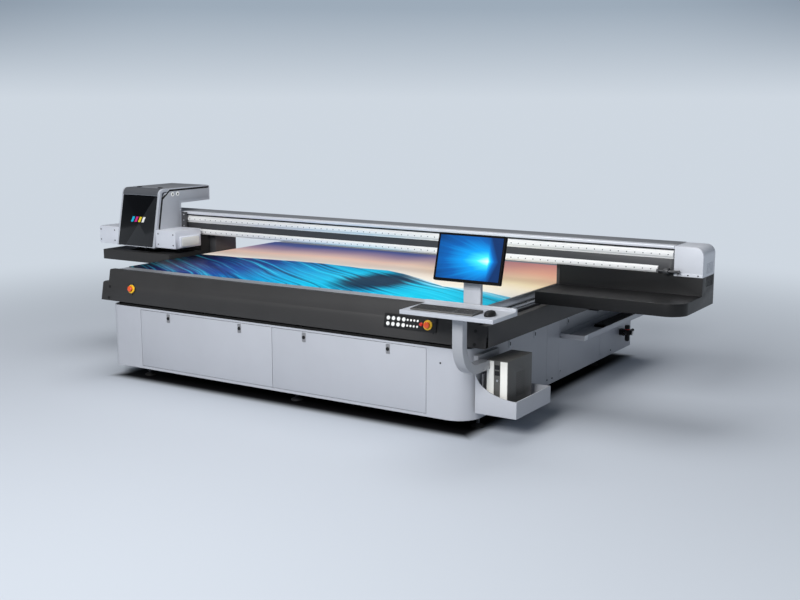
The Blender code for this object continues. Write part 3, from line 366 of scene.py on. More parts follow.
def ring_prism(outer, inner, axis, low, high):
    """Extrude the band between two outlines that have the same number of points."""
    bm = bmesh.new()
    rings = [[bm.verts.new(AXES[axis](u, v, w)) for u, v in loop]
             for w in (low, high) for loop in (outer, inner)]
    for i in range(len(outer)):
        j = (i + 1) % len(outer)
        for a, b in ((0, 2), (1, 3), (0, 1), (2, 3)):
            bm.faces.new((rings[a][i], rings[a][j], rings[b][j], rings[b][i]))
    return from_bmesh(bm)


def rect(u, v):
    return [(u[0], v[0]), (u[1], v[0]), (u[1], v[1]), (u[0], v[1])]


def box(x, y, z):
    return prism(rect(x, y), "Z", z[0], z[1])


def arc(centre, radius, start, stop, steps):
    points = []
    for i in range(steps + 1):
        angle = math.radians(start + (stop - start) * i / steps)
        points.append((centre[0] + radius * math.cos(angle), centre[1] + radius * math.sin(angle)))
    return points


def rounded_rect(u, v, radius, steps=6):
    loop = arc((u[0] + radius, v[0] + radius), radius, 180, 270, steps)
    loop += arc((u[1] - radius, v[0] + radius), radius, 270, 360, steps)
    loop += arc((u[1] - radius, v[1] - radius), radius, 0, 90, steps)
    return loop + arc((u[0] + radius, v[1] - radius), radius, 90, 180, steps)


def turned(profile, segments=40):
    """Turn (radius, height) points about Z. The first and last points lie on the axis."""
    bm = bmesh.new()
    first = bm.verts.new((0, 0, profile[0][1]))
    last = bm.verts.new((0, 0, profile[-1][1]))
    rings = []
    for radius, height in profile[1:-1]:
        turns = [2 * math.pi * i / segments for i in range(segments)]
        rings.append([bm.verts.new((radius * math.cos(t), radius * math.sin(t), height)) for t in turns])
    for i in range(segments):
        j = (i + 1) % segments
        bm.faces.new((first, rings[0][i], rings[0][j]))
        bm.faces.new((last, rings[-1][j], rings[-1][i]))
        for low, high in zip(rings, rings[1:]):
            bm.faces.new((low[i], low[j], high[j], high[i]))
    return from_bmesh(bm)


def rod(radius, low, high, segments=32):
    return turned([(0, low), (radius, low), (radius, high), (0, high)], segments)


def washer(inner, outer, low, high, segments=48):
    loops = [[(r * math.cos(2 * math.pi * i / segments), r * math.sin(2 * math.pi * i / segments))
              for i in range(segments)] for r in (outer, inner)]
    return ring_prism(loops[0], loops[1], "Z", low, high)


def moved(ob, matrix):
    ob.data.transform(matrix)
    return ob


def along(axis, at=(0, 0, 0)):
    turn = Vector((0, 0, 1)).rotation_difference(Vector(axis)).to_matrix().to_4x4()
    return Matrix.Translation(at) @ turn


def joined(*obs):
    """Several closed solids as one object, without merging them."""
    bm = bmesh.new()
    for ob in obs:
        bm.from_mesh(ob.data)
        bpy.data.objects.remove(ob, do_unlink=True)
    return from_bmesh(bm)


def copies(ob, places):
    """A shape repeated at each place, which is a matrix, as one object."""
    bm = bmesh.new()
    for matrix in places:
        placed = ob.data.copy()
        placed.transform(matrix)
        bm.from_mesh(placed)
        bpy.data.meshes.remove(placed)
    bpy.data.objects.remove(ob, do_unlink=True)
    return from_bmesh(bm)


def row(step, count):
    """Places one step after the other, from no move at all."""
    return [Matrix.Translation(Vector(step) * k) for k in range(count)]


def apply_modifiers(ob):
    mesh = bpy.data.meshes.new_from_object(ob.evaluated_get(bpy.context.evaluated_depsgraph_get()))
    ob.modifiers.clear()
    ob.data = mesh


def combine(base, others, operation):
    for other in others:
        mod = base.modifiers.new("cut", "BOOLEAN")
        mod.operation = operation
        mod.solver = "EXACT"
        mod.object = other
        apply_modifiers(base)
        bpy.data.objects.remove(other, do_unlink=True)
    return base


def cut(base, *others):
    return combine(base, others, "DIFFERENCE")


def union(base, *others):
    return combine(base, others, "UNION")


def copy_of(name):
    """The shape of a CAD node in machine coordinates, welded and with its flat faces whole."""
    bm = bmesh.new()
    bm.from_mesh(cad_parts[name].data)
    bmesh.ops.translate(bm, verts=bm.verts, vec=-HOME)
    bmesh.ops.remove_doubles(bm, verts=bm.verts, dist=0.00002)
    bmesh.ops.dissolve_limit(bm, angle_limit=math.radians(0.6), verts=bm.verts, edges=bm.edges)
    return from_bmesh(bm)


def add(ob, name, body, finish, replaces=(), edge=0.0, steps=2, angle=28):
    """Name a shape given in machine coordinates, round its edges, finish it and hang it on its body.

    The finish is a paint that is named after its slot, or a pair of paint and slot; the slot is not used.
    """
    paint, slot_name = finish if isinstance(finish, tuple) else (finish, finish)
    ob.name = name
    ob.data.name = name
    ob.data.materials.clear()
    ob.data.materials.append(PAINTS[paint])
    moved(ob, Matrix.Translation(HOME))
    if edge:
        rounder = ob.modifiers.new("edges", "BEVEL")
        rounder.width = edge
        rounder.segments = steps
        rounder.limit_method = "ANGLE"
        rounder.angle_limit = math.radians(angle)
        apply_modifiers(ob)
    ob.data.shade_smooth()
    ob.data.set_sharp_from_angle(angle=math.radians(35))
    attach(ob, body)
    if replaces:
        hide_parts(*replaces)


def skin(node_name, name, body, finish, **rounding):
    """The CAD shape of one node, rounded and finished."""
    add(copy_of(node_name), name, body, finish, [node_name], **rounding)


def spokes(count, reach, half, heights):
    """Blocks set round the Z axis, which cut grooves into a turned shape."""
    turns = [Matrix.Rotation(2 * math.pi * k / count, 4, "Z") for k in range(count)]
    return copies(box(reach, (-half, half), heights), turns)


def screw_heads(spots, axis, radius=0.006):
    """Socket screws: a domed head with a hexagon recess, at each spot, pointing along axis."""
    height = 0.003
    profile = [(0, -0.001), (radius, -0.001), (radius, height * 0.7), (radius * 0.8, height), (0, height)]
    head = cut(turned(profile, 20), rod(radius * 0.45, height * 0.35, height * 2, 6))
    return copies(head, [along(axis, spot) for spot in spots])


PAINTS = make_materials()


# ---------------------------------------------------------------- camera, light and floor
def camera():
    data = bpy.data.cameras.new("camera")
    data.lens = 51.42
    data.sensor_width = 36.0
    data.clip_end = 200.0
    ob = bpy.data.objects.new("camera", data)
    bpy.context.scene.collection.objects.link(ob)
    ob.location = HOME + Vector((5.139, -6.376, 2.213))
    ob.rotation_euler = (math.radians(79.96), 0.0, math.radians(32.33))
    bpy.context.scene.camera = ob


def area_light(name, at, target, size, power):
    data = bpy.data.lights.new(name, "AREA")
    data.shape = "RECTANGLE"
    data.size, data.size_y = size
    data.energy = power
    ob = bpy.data.objects.new(name, data)
    bpy.context.scene.collection.objects.link(ob)
    ob.location = at
    ob.rotation_euler = (Vector(target) - Vector(at)).to_track_quat("-Z", "Y").to_euler()


HORIZON = (0.62, 0.68, 0.75)
UPPER = (0.34, 0.41, 0.49)
FLOOR_NEAR = (0.58, 0.62, 0.68)
FILL = 0.40                       # share of the backdrop's light that reaches the object


def studio():
    bpy.context.scene.view_settings.view_transform = "Standard"
    world = bpy.data.worlds.new("studio")
    bpy.context.scene.world = world
    world.use_nodes = True
    tree = world.node_tree
    back = tree.nodes["Background"]
    east, north, height = axes_of(Signal(node(tree, "TexCoord").outputs["Generated"]))
    colour = ramp(height, [(0.0, HORIZON), (0.075, UPPER), (0.30, (0.26, 0.32, 0.40)),
                           (1.0, (0.5, 0.52, 0.55))])
    edge = smooth_step(east * -0.535 + north * 0.845, 0.985, 0.925) * smooth_step(height, 0.0, 0.09)
    seen = Signal(node(tree, "LightPath").outputs["Is Camera Ray"])
    fill(back, Color=mix(edge * 0.36, colour, (0.10, 0.13, 0.18)), Strength=scaled_range(seen, FILL, 1.0))
    area_light("key", (2.0, -9.0, 5.4), (0.2, 0.0, 0.5), (4.5, 3.0), 780)
    area_light("top", (-0.5, 0.4, 7.0), (0.0, 0.2, 0.8), (7.0, 4.5), 270)


def floor():
    """Large pale floor with a painted shadow below the cabinet; it runs out into the backdrop's own colour.
    """
    bm = bmesh.new()
    bmesh.ops.create_circle(bm, cap_ends=True, radius=400.0, segments=128)
    ground = from_bmesh(bm)
    ground.name = "studio_floor"
    mat, tree, bsdf = new_material("studio_floor")
    x, y, _ = axes_of(object_coords(tree))
    outside = []
    for axis, shift, (low, high) in zip((x, y), HOME, place("cabinet_shell")):
        outside.append(math_node("ABSOLUTE", axis - (shift + (low + high) / 2)) - (high - low) / 2)
    beside = math_node("MAXIMUM", *outside)
    # Painted shadow: near-black under the cabinet's footprint, fading out within a few centimetres past its
    # edges.
    fill(bsdf, Base_Color=mix(smooth_step(beside, -0.08, 0.06), (0.004, 0.004, 0.005), FLOOR_NEAR),
         Roughness=0.8, Specular_IOR_Level=0.1)
    glow = node(tree, "Emission", Color=HORIZON)
    blend = node(tree, "MixShader", Fac=smooth_step(math_node("SQRT", x * x + y * y), 2.0, 8.0))
    for index, shader in enumerate((bsdf, glow), start=1):
        tree.links.new(shader.outputs[0], blend.inputs[index])
    tree.links.new(blend.outputs[0], tree.nodes["Material Output"].inputs["Surface"])
    ground.data.materials.append(mat)


# ---------------------------------------------------------------- cabinet
def cabinet():
    (x0, x1), (y0, y1), (z0, z1) = place("cabinet_shell")
    radius, left_r, sheet, rear = 0.170, 0.080, 0.005, 0.030
    side_seams, left_seams = (1.193, 1.407, 2.21), (1.193, 2.21)
    plug_holes = ((1.444, 0.161), (2.660, 0.227))
    latch_places = (0.584, 0.981, 1.561, 2.149)
    screw_places = ((1.205, 0.141), (1.293, 0.138), (2.445, 0.137))
    groove, clearance = 0.0015, 0.003

    def outline(inset):
        loop = []
        for cx, cy, r, a in ((x0 + left_r, y0 + left_r, left_r, 180), (x1 - radius, y0 + radius, radius, 270),
                             (x1 - rear, y1 - rear, rear, 0), (x0 + rear, y1 - rear, rear, 90)):
            loop += arc((cx, cy), r - inset, a, a + 90, 8 if r == rear else 24)
        return loop

    shell = ring_prism(outline(0.0), outline(sheet), "Z", z0, z1)
    doorway_x = (place("door_left")[0][0] - clearance, place("door_right")[0][1] + clearance)
    low, high = place("door_left")[2]
    cuts = [box(doorway_x, (y0 - 0.1, y0 + 0.1), (low - clearance, high + clearance))]
    for side, seams in ((x1, side_seams), (x0, left_seams)):
        for y in seams:
            cuts.append(box((side - groove, side + groove), (y - groove, y + groove), (z0 + 0.01, z1 - 0.01)))
    for y, z in plug_holes:
        cuts.append(moved(rod(0.009, -0.02, 0.02, 24), along((1, 0, 0), (x1, y, z))))
    add(cut(shell, *cuts), "cabinet_skin", "base", "light_panel", ["cabinet_shell"])
    # A near-black sheet inside the shell, open at the doorway: painted shade of the cabinet's inside.
    inside_shade = ring_prism(outline(0.030), outline(0.034), "Z", 0.16, 0.598)
    inside_shade = cut(inside_shade, box((x0 + 0.2, x1 - 0.2), (y0 - 0.1, y0 + 0.1), (0.13, 0.572)))
    add(inside_shade, "cabinet_inside_shade", "base", ("black_and_painted_shade", "frame_steel"))
    latches = [box((x1 - 0.001, x1 + 0.005), (y - 0.016, y + 0.016), (0.505, 0.560)) for y in latch_places]
    add(joined(*latches), "side_latches", "base", "silver", edge=0.0015)
    slots = [box((x1 + 0.0045, x1 + 0.0062), (y - 0.006, y + 0.006), (0.520, 0.545)) for y in latch_places]
    add(joined(*slots), "side_latch_slots", "base", "black_plastic", edge=0.0005)
    spots = [(x1, y, z) for y, z in screw_places]
    add(screw_heads(spots, (1, 0, 0), 0.007), "side_screws", "base", "black_plastic")
    add(screw_heads([(1.4200, 0.0, 0.483)], (0, -1, 0)), "front_dots", "base", "black_plastic")
    rear_panels(y1)


def rear_panels(back):
    """Two removable rear panels with louvres and corner screws."""
    centres = {"left": -0.80, "right": 0.80}
    for side, mid in centres.items():
        panel = box((mid - 0.62, mid + 0.62), (back - 0.001, back + 0.003), (0.15, 0.55))
        louvre = box((mid - 0.25, mid + 0.25), (back + 0.0015, back + 0.01), (0.260, 0.267))
        panel = cut(panel, copies(louvre, row((0, 0, 0.020), 9)))
        add(panel, "rear_panel_" + side, "base", "light_panel", edge=0.0008)
    spots = [(mid + dx, back + 0.003, z)
             for mid in centres.values() for dx in (-0.60, 0.60) for z in (0.17, 0.53)]
    add(screw_heads(spots, (0, 1, 0), 0.007), "rear_screws", "base", "black_plastic")


def latch_centre(number):
    """Middle of a lock's head, which sits at the left end of its node's box."""
    (left, _), _, (low, high) = place(f"latch_{number}")
    return left + 0.0125, (low + high) / 2


def doors():
    numbers = (1, 2, 3, 4)
    hem = 0.012
    for side in ("left", "right"):
        body = "door_" + side
        x, _, z = place(body)
        panel = union(box(x, (0.0, 0.004), z),
                      box((x[0] + hem, x[1] - hem), (0.003, 0.004), (z[0] + hem, z[1] - hem)))
        add(panel, "door_skin_" + side, body, "light_panel", [body], edge=0.0012)
        pads = []
        for mid, height in map(latch_centre, numbers):
            if x[0] < mid < x[1]:
                outline = rounded_rect((mid - 0.016, mid + 0.016), (height - 0.034, height + 0.034), 0.006)
                bore = moved(rod(0.0092, -0.05, 0.05), along((0, 1, 0), (mid, 0, height)))
                pads.append(cut(prism(outline, "Y", -0.003, 0.001), bore))
        add(joined(*pads), "latch_pads_" + side, body, ("pad_grey", "silver"), edge=0.0008)
    for number in numbers:
        mid, height = latch_centre(number)
        core = turned([(0, -0.009), (0.0105, -0.009), (0.0125, -0.0075), (0.0125, -0.0034), (0.0085, -0.0034),
                       (0.0085, 0.024), (0, 0.024)])
        core = cut(core, box((-0.0075, 0.0075), (-0.0013, 0.0013), (-0.02, -0.0065)))
        cam = prism(rounded_rect((-0.006, 0.050), (-0.007, 0.007), 0.006), "Z", 0.018, 0.024)
        lock = moved(union(core, cam), along((0, 1, 0), (mid, 0, height)))
        name = f"latch_{number}"
        add(lock, f"latch_core_{number}", name, "black_plastic", [name], edge=0.0004)


def feet():
    top = place("foot_1")[2][1]
    pad = [(0, 0.0), (0.041, 0.0), (0.045, 0.003), (0.045, 0.009), (0.040, 0.013), (0.022, 0.022),
           (0.013, 0.028), (0, 0.028)]
    thread_turns, lead = 9, 0.0042
    stem = [(0, 0.024)]
    for k in range(thread_turns):
        z = 0.030 + k * lead
        stem += [(0.0120, z), (0.0108, z + lead / 2)]
    stem += [(0.012, 0.070), (0.0225, 0.0705), (0.024, 0.073), (0.024, 0.083), (0.0225, 0.086),
             (0.012, 0.0865), (0.012, top), (0, top)]
    for name in ("foot_1", "foot_2", "foot_3", "foot_4"):
        (x0, x1), (y0, y1), _ = place(name)
        at = Matrix.Translation(((x0 + x1) / 2, (y0 + y1) / 2, 0))
        add(moved(turned(pad), at), name + "_pad", "base", "rubber", [name])
        add(moved(turned(stem), at), name + "_stem", "base", "rail_steel")


# ---------------------------------------------------------------- dark skirt, fascia and controls
def fascia_frame():
    """Places on the leaning fascia: at(x, z) turns +Z out of its face and keeps +X along it."""
    rise, depth, foot_y = 0.248, 0.048, 0.006
    low = place("front_fascia")[2][0]
    lean = math.atan2(depth, rise)
    outward = Vector((0, -math.cos(lean), math.sin(lean)))
    across = Vector((1, 0, 0))
    turn = Matrix((across, outward.cross(across), outward)).transposed().to_4x4()

    def at(x, z):
        return Matrix.Translation((x, foot_y + (z - low) * math.tan(lean), z)) @ turn

    return at


def skirts():
    skin("front_fascia", "fascia_skin", "base", "dark_panel", edge=0.0018)
    # The side skirt wears a lighter copy of the dark panel paint: painted light on its side face.
    skin("side_skirt", "side_skirt_skin", "base", ("skirt_side_lit_copy", "dark_panel"), edge=0.0015)
    at = fascia_frame()
    x0, x1 = place("front_fascia")[0]
    spots = [at(x, z).translation for x in (x1 - 0.082, x0 + 0.082) for z in (0.721, 0.634)]
    outward = at(0, 0).to_3x3() @ Vector((0, 0, 1))
    add(screw_heads(spots, outward, 0.0115), "fascia_screws", "base", ("black_and_painted_shade", "black_plastic"))
    dot = moved(rod(0.006, -0.001, 0.0008, 20), at(1.355, 0.673))
    add(dot, "fascia_dot", "base", ("black_and_painted_shade", "black_plastic"))
    shoulder = 1.655
    tabs = [box((x - 0.022, x + 0.022), (0.040, 0.046), (0.742, 0.757)) for x in (-shoulder, shoulder)]
    add(joined(*tabs), "shoulder_tabs", "base", ("brass", "rail_steel"), edge=0.001)
    for side, name in ((-1, "left"), (1, "right")):
        seal = box(sorted((side * 1.6465, side * 1.6545)), (0.102, 2.88), (0.7703, 0.800))
        add(seal, "trough_seal_" + name, "base", "rubber", edge=0.001)


def controls():
    at = fascia_frame()
    levels = (0.741, 0.703)
    button_columns = (1.000, 1.041, 1.082, 1.123)
    lens_columns = (1.155, 1.181, 1.207, 1.233)
    skin("control_panel", "control_plate", "base", "black_plastic", edge=0.0006)
    lens_profile = [(0, 0.010), (0.0078, 0.010), (0.0078, 0.0158), (0.006, 0.0172), (0, 0.0180)]
    cap_profile = [(0, 0.006), (0.0138, 0.006), (0.0138, 0.0148), (0.0132, 0.0160), (0.0110, 0.01645),
                   (0.0085, 0.0158), (0, 0.0155)]
    for level, z in enumerate(levels, start=1):
        lenses = copies(turned(lens_profile, 28), [at(x, z) for x in lens_columns])
        add(lenses, f"indicator_row_{level}", "base", "button_white")
        for number, x in enumerate(button_columns, start=(level - 1) * len(button_columns) + 1):
            cap = moved(turned(cap_profile), at(x, z))
            add(cap, f"button_cap_{number}", f"button_{number}", "button_white", [f"button_{number}"])
        rings = copies(washer(0.0148, 0.0180, 0.0100, 0.0150, 40), [at(x, z) for x in button_columns])
        add(rings, f"button_rings_{level}", "base", "black_plastic", edge=0.0004)
    lamp = turned([(0, 0.011), (0.0135, 0.011), (0.0135, 0.0190), (0.0095, 0.0250), (0, 0.0268)])
    add(moved(lamp, at(1.262, 0.722)), "signal_lamp", "base", ("lens_red", "estop_red"))
    left_stop = at(-1.412, 0.722)
    emergency_stop("left", left_stop)
    ticks = [moved(box((-0.002, 0.002), (r, r + 0.010), (0.0, 0.0045)), left_stop) for r in (0.037, -0.047)]
    add(joined(*ticks), "stop_ticks", "base", "black_plastic", edge=0.0005)
    emergency_stop("right", at(1.316, 0.722))


def emergency_stop(side, spot):
    """Yellow collar and the red mushroom head with twelve finger grooves."""
    ring = turned([(0, 0.016), (0.0335, 0.016), (0.0335, 0.0215), (0.0320, 0.0235), (0.0115, 0.0235),
                   (0, 0.0235)])
    ring = cut(ring, rod(0.0108, -0.1, 0.1))
    add(moved(ring, spot), "stop_ring_" + side, "base", ("yellow_ring", "button_white"), edge=0.0006)
    head = turned([(0, 0.0245), (0.0098, 0.0245), (0.0098, 0.030), (0.0205, 0.0300), (0.0223, 0.0325),
                   (0.0225, 0.0365), (0.0213, 0.0415), (0.0175, 0.0445), (0.009, 0.0458), (0, 0.0460)], 48)
    head = cut(head, spokes(12, (0.0205, 0.03), 0.0012, (0.02, 0.05)))
    body = "estop_" + side
    add(moved(head, spot), "stop_head_" + side, body, "estop_red", [body], edge=0.0004)


# ---------------------------------------------------------------- bed and rails
def vacuum_holes(name, first_y, pitch, rows, segments):
    """Suction holes in the bed's top: rows that run across it, 100 mm from hole to hole. Each is a flat black
    disc, painted shade in place of a bore.
    """
    hole = moved(rod(0.0022, -0.0002, 0.00025, segments),
                 Matrix.Translation((-1.60, first_y, place("bed_table")[2][1])))
    holes = copies(copies(hole, row((0.10, 0, 0), 33)), row((0, pitch, 0), rows))
    add(holes, name, "base", ("black_and_painted_shade", "bed_alu"))


def bed():
    skin("bed_table", "bed_skin", "base", "bed_alu", edge=0.0020)
    add(box(*place("printed_board")), "board_sheet", "base", "print", ["printed_board"], edge=0.0008)
    vacuum_holes("vacuum_holes_front", place("bed_table")[1][0] + 0.035, 0.045, 2, 12)
    vacuum_holes("vacuum_holes_back", 2.17, 0.05, 14, 8)
    for name in ("y_rail_left", "y_rail_right"):
        (x0, x1), (front, _), (_, top) = place(name)
        skin(name, name + "_bar", "base", "rail_steel", edge=0.0010)
        # Black discs on the rail's top: painted shade of its bolt holes.
        hole_shade = moved(rod(0.006, -0.0004, 0.0006, 20),
                     Matrix.Translation(((x0 + x1) / 2, front + 0.04, top - 0.0002)))
        add(copies(hole_shade, row((0, 0.12, 0), 23)), name + "_plugs", "base", ("black_and_painted_shade", "rail_steel"))


# ---------------------------------------------------------------- gantry
def rail_holes(x0, x1, front, z):
    """Counterbored fixing holes of a linear rail, 60 mm apart, drawn as flat grey discs: painted shade in
    place of bores.
    """
    pitch, first = 0.060, 0.020
    hole = moved(rod(0.0042, -0.0004, 0.0003, 16), along((0, -1, 0), (x0 + first, front, z)))
    return copies(hole, row((pitch, 0, 0), int((x1 - x0 - 2 * first) / pitch) + 1))


def gantry():
    beam_left = place("beam")[0][0]
    skin("beam", "beam_skin", "gantry", "beam_dark", edge=0.0012, angle=40)
    # The beam cover wears a lighter copy of the silver paint: painted light.
    skin("beam_cover", "beam_cover_skin", "gantry", ("silver_lit_copy", "silver"), edge=0.0012)
    (a, b), (front, back), (_, high) = place("beam_cover")
    # Darker grey strip on the cover's top face: painted shade.
    top_shade = box((a + 0.001, b - 0.001), (front + 0.060, back - 0.003), (high - 0.0005, high + 0.0012))
    add(top_shade, "beam_top_shade", "gantry", ("top_shade_grey", "silver"), edge=0.0005)
    # Near-black strip: painted shadow in the gap between the cover's band and the upper rail.
    gap = box((a + 0.001, b - 0.006), (1.1695, 1.1835), (1.1858, 1.1955))
    add(gap, "beam_gap_shadow", "gantry", ("black_and_painted_shade", "black_plastic"))
    for name in ("x_rail_upper", "x_rail_lower"):
        (a, b), (front, _), (low, high) = place(name)
        skin(name, name + "_bar", "gantry", "rail_white", edge=0.0009)
        holes = rail_holes(a, b, front, (low + high) / 2)
        add(holes, name + "_holes", "gantry", ("band_grey", "rail_steel"))
    cap_plate = box((beam_left - 0.004, beam_left - GAP), (1.172, 1.430), (1.012, 1.215))
    add(cap_plate, "beam_end_left", "gantry", "silver", edge=0.0012)
    end_cap()
    platforms()
    for name, side, out in (("leg_left", 0, -1), ("leg_right", 1, 1)):
        skin(name, name + "_skin", "gantry", "beam_dark", edge=0.0020)
        x, (front, _), (_, top) = place(name)
        spots = [(x[side], front + 0.03 + 0.07 * k, top - 0.02) for k in range(4)]
        add(screw_heads(spots, (out, 0, 0), 0.007), name + "_bolts", "gantry", "rail_steel")
    capping()


def end_cap():
    (x0, x1), (y0, y1), (z0, z1) = place("end_cap")
    radius = 0.060
    outline = [(x0, z0), (x1, z0)] + arc((x1 - radius, z1 - radius), radius, 0, 90, 24) + [(x0, z1)]
    shell = prism(outline, "Y", y0, y1)
    vents = copies(box((x1 - 0.003, x1 + 0.01), (1.250, 1.390), (1.030, 1.035)), row((0, 0, 0.011), 7))
    seam = box((x0 - 0.01, x1 + 0.01), (y0 - 0.01, y0 + 0.0015), (z0 + 0.022, z0 + 0.0235))
    # Lighter copy of the silver paint: painted light.
    add(cut(shell, vents, seam), "end_cap_shell", "gantry", ("silver_lit_copy", "silver"), ["end_cap"],
        edge=0.0030, steps=3, angle=50)
    spots = [(x0 + 0.03 + 0.07 * k, y0, z0 + 0.011) for k in range(3)]
    add(screw_heads(spots, (0, -1, 0), 0.005), "end_cap_screws", "gantry", "black_plastic")


def platforms():
    x, y, z = place("platform_right")
    radius, t = 0.130, 0.008
    deck_top, wall, step_top, housing_x = 0.883, 1.175, 1.0097, 2.580

    def outline(inset):
        a, b, c, d = x[0] + inset, x[1] - inset, y[0] + inset, y[1] - inset
        return [(a, d), (a, c)] + arc((x[1] - radius, y[0] + radius), radius - inset, 270, 360, 28) + [(b, d)]

    deck = prism(outline(0.0), "Z", z[0], deck_top)
    tall = box((x[0], housing_x), (wall, y[1]), (deck_top - 0.02, z[1]))
    low = box(x, (wall, y[1]), (deck_top - 0.02, step_top))
    hollow = prism(outline(t), "Z", z[0] - 0.1, deck_top - t)
    room = box((x[0] + t, x[1] - t), (wall + t, y[1] - t), (deck_top - 0.05, step_top - t))
    shell = cut(union(deck, tall, low), hollow, room)
    slats = copies(box((x[1] - 0.003, x[1] + 0.01), (1.245, 1.395), (0.940, 0.944)), row((0, 0, 0.010), 7))
    add(cut(shell, slats), "platform_right_shell", "gantry", "gloss_black", ["platform_right"],
        edge=0.0022, steps=3, angle=50)
    skin("platform_left", "platform_left_shell", "gantry", ("dark_panel", "gloss_black"),
         edge=0.0020, angle=50)


def capping():
    """Parking tray with a lip seal round each of its six cups."""
    (x0, _), (y0, _), (_, top) = place("capping_tray")
    skin("capping_tray", "capping_tray_skin", "gantry", "black_plastic", edge=0.0010)
    x, y = x0 + 0.065, y0 + 0.065
    outer = rounded_rect((x - 0.028, x + 0.028), (y - 0.043, y + 0.043), 0.006)
    inner = rounded_rect((x - 0.024, x + 0.024), (y - 0.039, y + 0.039), 0.004)
    seal = ring_prism(outer, inner, "Z", top - 0.0085, top - 0.0045)
    seals = copies(copies(seal, row((0.105, 0, 0), 3)), row((0, 0.110, 0), 2))
    add(seals, "capping_seals", "gantry", "rubber", edge=0.0005)


# ---------------------------------------------------------------- carriage
def carriage():
    (x0, x1), (_, back), (_, top) = place("carriage_body")
    skin("carriage_body", "carriage_shell", "carriage", "silver", edge=0.0035, steps=3)
    hinge_y, heel_z, low_z = 0.965, 1.340, 0.955
    crown, rear = top - 0.026, back - 0.022

    def profile(inset):
        """Outline of a side panel: up its leaning front, over the top and down behind."""
        return [(0.834 + inset, low_z + inset), (0.905 + inset, heel_z - inset), (0.955, top - 0.055 - inset),
                (0.990, crown - inset), (rear - inset, crown - inset), (rear - inset, 1.322 + inset),
                (1.108 - inset, 1.320 + inset), (1.108 - inset, low_z + inset)]

    groove = profile(-0.017)[:5] + profile(-0.001)[4::-1]
    for side, face, out in (("right", x1, 1), ("left", x0, -1)):
        def plate(outline, proud):
            return prism(outline, "X", *sorted((face - out * 0.002, face + out * proud)))

        panel = plate(profile(0.0), 0.0015)
        # Side panels in a darker copy of the silver paint: painted shade on the carriage's sides.
        add(panel, "carriage_panel_" + side, "carriage", ("silver_side_shade", "silver"), edge=0.0010)
        add(plate(groove, 0.0008), "carriage_groove_" + side, "carriage", ("black_and_painted_shade", "black_plastic"))
    for k, y in enumerate((1.025, 1.088), start=1):
        at = along((1, 0, 0), (x1, y, 1.380))
        rim = moved(washer(0.009, 0.019, -0.001, 0.006, 40), at)
        add(rim, f"port_rim_{k}", "carriage", "button_white", edge=0.0012)
        core = moved(rod(0.009, -0.001, 0.003), at)
        add(core, f"port_core_{k}", "carriage", ("black_and_painted_shade", "black_plastic"))
    # Darker grey panel on the carriage's top face: painted shade.
    top_shade = box((x0 + 0.010, x1 - 0.010), (hinge_y + 0.020, back - 0.020), (top - 0.001, top + 0.0012))
    add(top_shade, "carriage_top_shade", "carriage", ("top_shade_grey", "silver"), edge=0.0008)
    tabs = [box((x - 0.022, x + 0.022), (hinge_y + 0.0045, hinge_y + 0.030), (top - 0.002, top + 0.006))
            for x in (x0 + 0.10, x1 - 0.10)]
    add(joined(*tabs), "hinge_tabs", "carriage", "black_plastic", edge=0.0020)
    skin("carriage_slider", "slider_skin", "carriage", "beam_dark", edge=0.0012)
    spots = [(-1.880, 1.1305, z) for z in (1.045, 1.095, 1.145, 1.195)]
    add(screw_heads(spots, (0, -1, 0)), "slider_bolts", "carriage", "rail_steel")
    cover()
    lamps()
    tanks()
    skin("print_heads", "head_plate", "head", "bed_alu", edge=0.0012)


